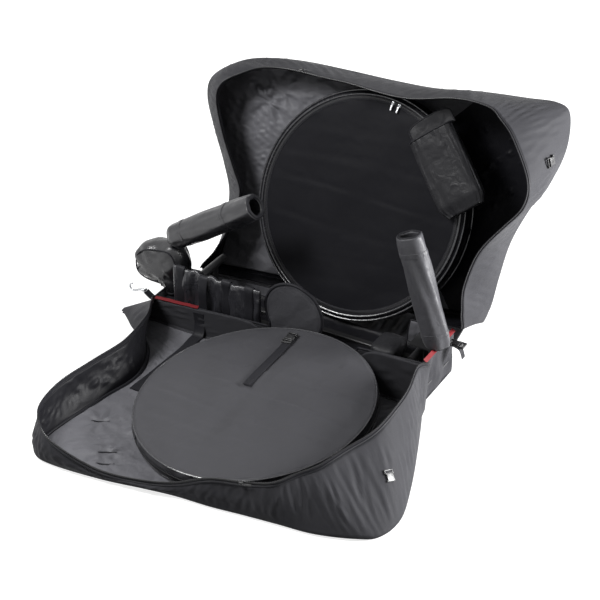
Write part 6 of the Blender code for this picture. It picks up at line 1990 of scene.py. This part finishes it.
def finish_frame():
    """Gives the rigid parts that come from the CAD their finishes and adds their bolts."""
    kinds = (
        ("base_board", board_plastic), ("fork_lever", plastic), ("frame_rail", dark_steel),
        ("rear_stand", dark_steel), ("front_stand", dark_steel),
    )
    for name, node in frame["nodes"].items():
        finish = steel
        for start, kind in kinds:
            if name.startswith(start):
                finish = kind
        node.data.materials.clear()
        node.data.materials.append(finish())
        node.data.shade_smooth()
        node.data.set_sharp_from_angle(angle=math.radians(32))
    for name, body, xs, half_width in (
        ("rear_stand_bolts", "base", (0.138, 0.182), 0.030),
        ("front_stand_bolts", "front_stand", (0.834, 0.846), 0.034),
    ):
        places = [BAG_START + Vector((x, y, RAIL_TOP + 0.0043)) for x in xs for y in (-half_width, half_width)]
        bolts = joined_meshes(*[moved(bolt_mesh(), place) for place in places])
        make_piece(name, *bolts, body, "steel", steel(), angle=30)


def bolt_mesh():
    path = np.array([[0, 0, 0], [0, 0, 0.0012], [0, 0, 0.0013], [0, 0, 0.0034], [0, 0, 0.0040]])
    return tube_mesh(path, [0.0062, 0.0062, 0.0044, 0.0044, 0.0034], 12)


# Operators


class BAG_OT_shells(bpy.types.Operator):
    """Builds both halves' outer cloth, linings, rims and zips."""

    bl_idname = "bag.shells"
    bl_label = "Shells and linings"

    def execute(self, context):
        for side, name, row in ((NEAR, "near", 13), (FAR, "far", 10)):
            grid = build_shell_cloth(side, name)
            build_lining(side, name, grid)
            build_rim(side, name, grid)
            build_rim_slider(side, name, grid, row)
        return {"FINISHED"}


class BAG_OT_wheel_bags(bpy.types.Operator):
    """Builds the near wheel bag and the far wheel pocket."""

    bl_idname = "bag.wheel_bags"
    bl_label = "Wheel bags"

    def execute(self, context):
        build_near_wheel_bag()
        build_far_wheel_pocket()
        return {"FINISHED"}


class BAG_OT_organiser(bpy.types.Operator):
    """Builds the organiser pocket and its flap."""

    bl_idname = "bag.organiser"
    bl_label = "Organiser pocket"

    def execute(self, context):
        build_organiser()
        return {"FINISHED"}


class BAG_OT_rear_covers(bpy.types.Operator):
    """Builds the rear cushion, the stay sleeve, the gathered skirt and the round guard."""

    bl_idname = "bag.rear_covers"
    bl_label = "Rear covers"

    def execute(self, context):
        build_rear_cushion()
        build_stay_sleeve()
        build_skirt()
        build_guard()
        return {"FINISHED"}


class BAG_OT_front_covers(bpy.types.Operator):
    """Builds the fork sleeve and the foot pad."""

    bl_idname = "bag.front_covers"
    bl_label = "Front covers"

    def execute(self, context):
        build_fork_sleeve()
        build_foot_pad()
        return {"FINISHED"}


class BAG_OT_base(bpy.types.Operator):
    """Builds the base's cloth, web, lining and edge tapes."""

    bl_idname = "bag.base"
    bl_label = "Base"

    def execute(self, context):
        build_base()
        return {"FINISHED"}


class BAG_OT_straps(bpy.types.Operator):
    """Builds the straps and the side-release buckles."""

    bl_idname = "bag.straps"
    bl_label = "Straps and buckles"

    def execute(self, context):
        build_straps()
        return {"FINISHED"}


class BAG_OT_hook(bpy.types.Operator):
    """Builds the rear tab and its snap hook."""

    bl_idname = "bag.hook"
    bl_label = "Tab and hook"

    def execute(self, context):
        build_hook()
        return {"FINISHED"}


class BAG_OT_frame(bpy.types.Operator):
    """Builds the castors' wheels and finishes the rails, stands and axles."""

    bl_idname = "bag.frame"
    bl_label = "Castors and frame"

    def execute(self, context):
        finish_frame()
        build_castors()
        return {"FINISHED"}


class BAG_OT_stage(bpy.types.Operator):
    """Adds the floor, the soft lamps, the world and the camera."""

    bl_idname = "bag.stage"
    bl_label = "Stage"

    def execute(self, context):
        build_floor()
        build_lamps()
        build_camera()
        return {"FINISHED"}


def seen_rays(tree):
    """One for rays from the camera, and for reflections and transmission."""
    path = add_node(tree, "ShaderNodeLightPath", -700, 500).outputs
    total = path["Is Camera Ray"]
    for i, name in enumerate(("Is Glossy Ray", "Is Transmission Ray")):
        total = math_node(tree, -480 + 180 * i, 500, "MAXIMUM", total, path[name])
    return total


def build_floor():
    """A white floor that glows more with distance, and is dim to rays that only light the bag."""
    mesh = bpy.data.meshes.new("studio_floor")
    mesh.from_pydata([(x, y, -0.0005) for x, y in ((-6, -6), (6, -6), (6, 6), (-6, 6))], [], [(0, 1, 2, 3)])
    floor = bpy.data.objects.new("studio_floor", mesh)
    bpy.context.scene.collection.objects.link(floor)
    material = bpy.data.materials.new("white studio floor")
    material.use_nodes = True
    tree = material.node_tree
    shader = tree.nodes["Principled BSDF"]
    set_inputs(tree, shader, {"Base Color": (0.5, 0.5, 0.5, 1), "Roughness": 0.9, "Specular IOR Level": 0})
    place = add_node(tree, "ShaderNodeTexCoord", -700, -250).outputs["Object"]
    away = add_node(tree, "ShaderNodeVectorMath", -480, -250, {0: place}, operation="LENGTH").outputs["Value"]
    rise = map_range(tree, -260, -250, Value=away, From_Min=0.9, From_Max=1.9, To_Min=0.78, To_Max=1.0)
    glow = add_node(tree, "ShaderNodeEmission", 0, -200, {"Strength": rise})
    both = add_node(tree, "ShaderNodeAddShader", 300, 0, {0: shader.outputs[0], 1: glow.outputs[0]})
    dim = add_node(tree, "ShaderNodeBsdfDiffuse", 300, 250, {"Color": (0.16, 0.16, 0.16, 1)})
    sockets = {0: seen_rays(tree), 1: dim.outputs[0], 2: both.outputs[0]}
    mixed = add_node(tree, "ShaderNodeMixShader", 500, 100, sockets)
    set_inputs(tree, tree.nodes["Material Output"], {"Surface": mixed.outputs[0]})
    mesh.materials.append(material)


def build_lamps():
    """A dim world that looks white to the camera, and three soft lamps."""
    scene = bpy.context.scene
    scene.world = scene.world or bpy.data.worlds.new("studio")
    scene.world.use_nodes = True
    tree = scene.world.node_tree
    tree.nodes.clear()
    light, seen = [
        add_node(tree, "ShaderNodeBackground", 0, y, {"Color": (1, 1, 1, 1), "Strength": strength}).outputs[0]
        for y, strength in ((100, 0.16), (-100, 1.0))
    ]
    mixed = add_node(tree, "ShaderNodeMixShader", 200, 0, {0: seen_rays(tree), 1: light, 2: seen})
    add_node(tree, "ShaderNodeOutputWorld", 400, 0, {"Surface": mixed.outputs[0]})
    for name, place, size, power in (
        ("top_lamp", (-1.3, -1.25, 2.6), 0.9, 86),
        ("side_lamp", (3.0, 1.3, 1.1), 1.2, 300),
        ("front_lamp", (-2.6, -2.2, 2.2), 1.0, 3),
    ):
        lamp = bpy.data.lights.new(name, "AREA")
        lamp.size = size
        lamp.energy = power
        holder = bpy.data.objects.new(name, lamp)
        holder.location = place
        holder.rotation_euler = (Vector((0, 0.1, 0.2)) - Vector(place)).to_track_quat("-Z", "Y").to_euler()
        scene.collection.objects.link(holder)


def build_camera():
    """The photograph's viewpoint, found from the base's corners and the round bags."""
    azimuth, elevation, distance = math.radians(30.167), math.radians(32.015), 4.692
    target = BAG_START + Vector((0.496, -0.048, 0.2))
    back = Vector((
        math.sin(azimuth) * math.cos(elevation), -math.cos(azimuth) * math.cos(elevation), math.sin(elevation)
    ))
    camera = bpy.data.cameras.new("camera")
    camera.sensor_width = 36
    camera.lens = 36 * distance * 340 / 600
    holder = bpy.data.objects.new("camera", camera)
    holder.location = target + back * distance
    holder.rotation_euler = (-back).to_track_quat("-Z", "Y").to_euler()
    bpy.context.scene.collection.objects.link(holder)
    bpy.context.scene.camera = holder


class BAG_PT_panel(bpy.types.Panel):
    """Lists the bag's operators and its sizes and colours."""

    bl_label = "Travel bag"
    bl_idname = "BAG_PT_panel"
    bl_space_type = "VIEW_3D"
    bl_region_type = "UI"
    bl_category = "Travel bag"

    def draw(self, context):
        for operator in OPERATORS:
            self.layout.operator(operator.bl_idname)
        for group in (context.scene.bag_sizes, context.scene.bag_colours):
            column = self.layout.column()
            for name in group.bl_rna.properties.keys():
                if name not in ("rna_type", "name"):
                    column.prop(group, name)


OPERATORS = (
    BAG_OT_shells, BAG_OT_wheel_bags, BAG_OT_organiser, BAG_OT_rear_covers, BAG_OT_front_covers, BAG_OT_base,
    BAG_OT_straps, BAG_OT_hook, BAG_OT_frame, BAG_OT_stage,
)
CLASSES = (BagSizes, BagColours, *OPERATORS, BAG_PT_panel)


def register():
    for item in CLASSES:
        bpy.utils.register_class(item)
    bpy.types.Scene.bag_sizes = bpy.props.PointerProperty(type=BagSizes)
    bpy.types.Scene.bag_colours = bpy.props.PointerProperty(type=BagColours)


def unregister():
    del bpy.types.Scene.bag_sizes
    del bpy.types.Scene.bag_colours
    for item in reversed(CLASSES):
        bpy.utils.unregister_class(item)


def main():
    register()
    bpy.context.scene.view_settings.view_transform = "Standard"
    bpy.ops.bag.stage()
    bpy.ops.bag.shells()
    bpy.ops.bag.wheel_bags()
    bpy.ops.bag.organiser()
    bpy.ops.bag.rear_covers()
    bpy.ops.bag.front_covers()
    bpy.ops.bag.base()
    bpy.ops.bag.straps()
    bpy.ops.bag.hook()
    bpy.ops.bag.frame()


if __name__ == "__main__":
    main()
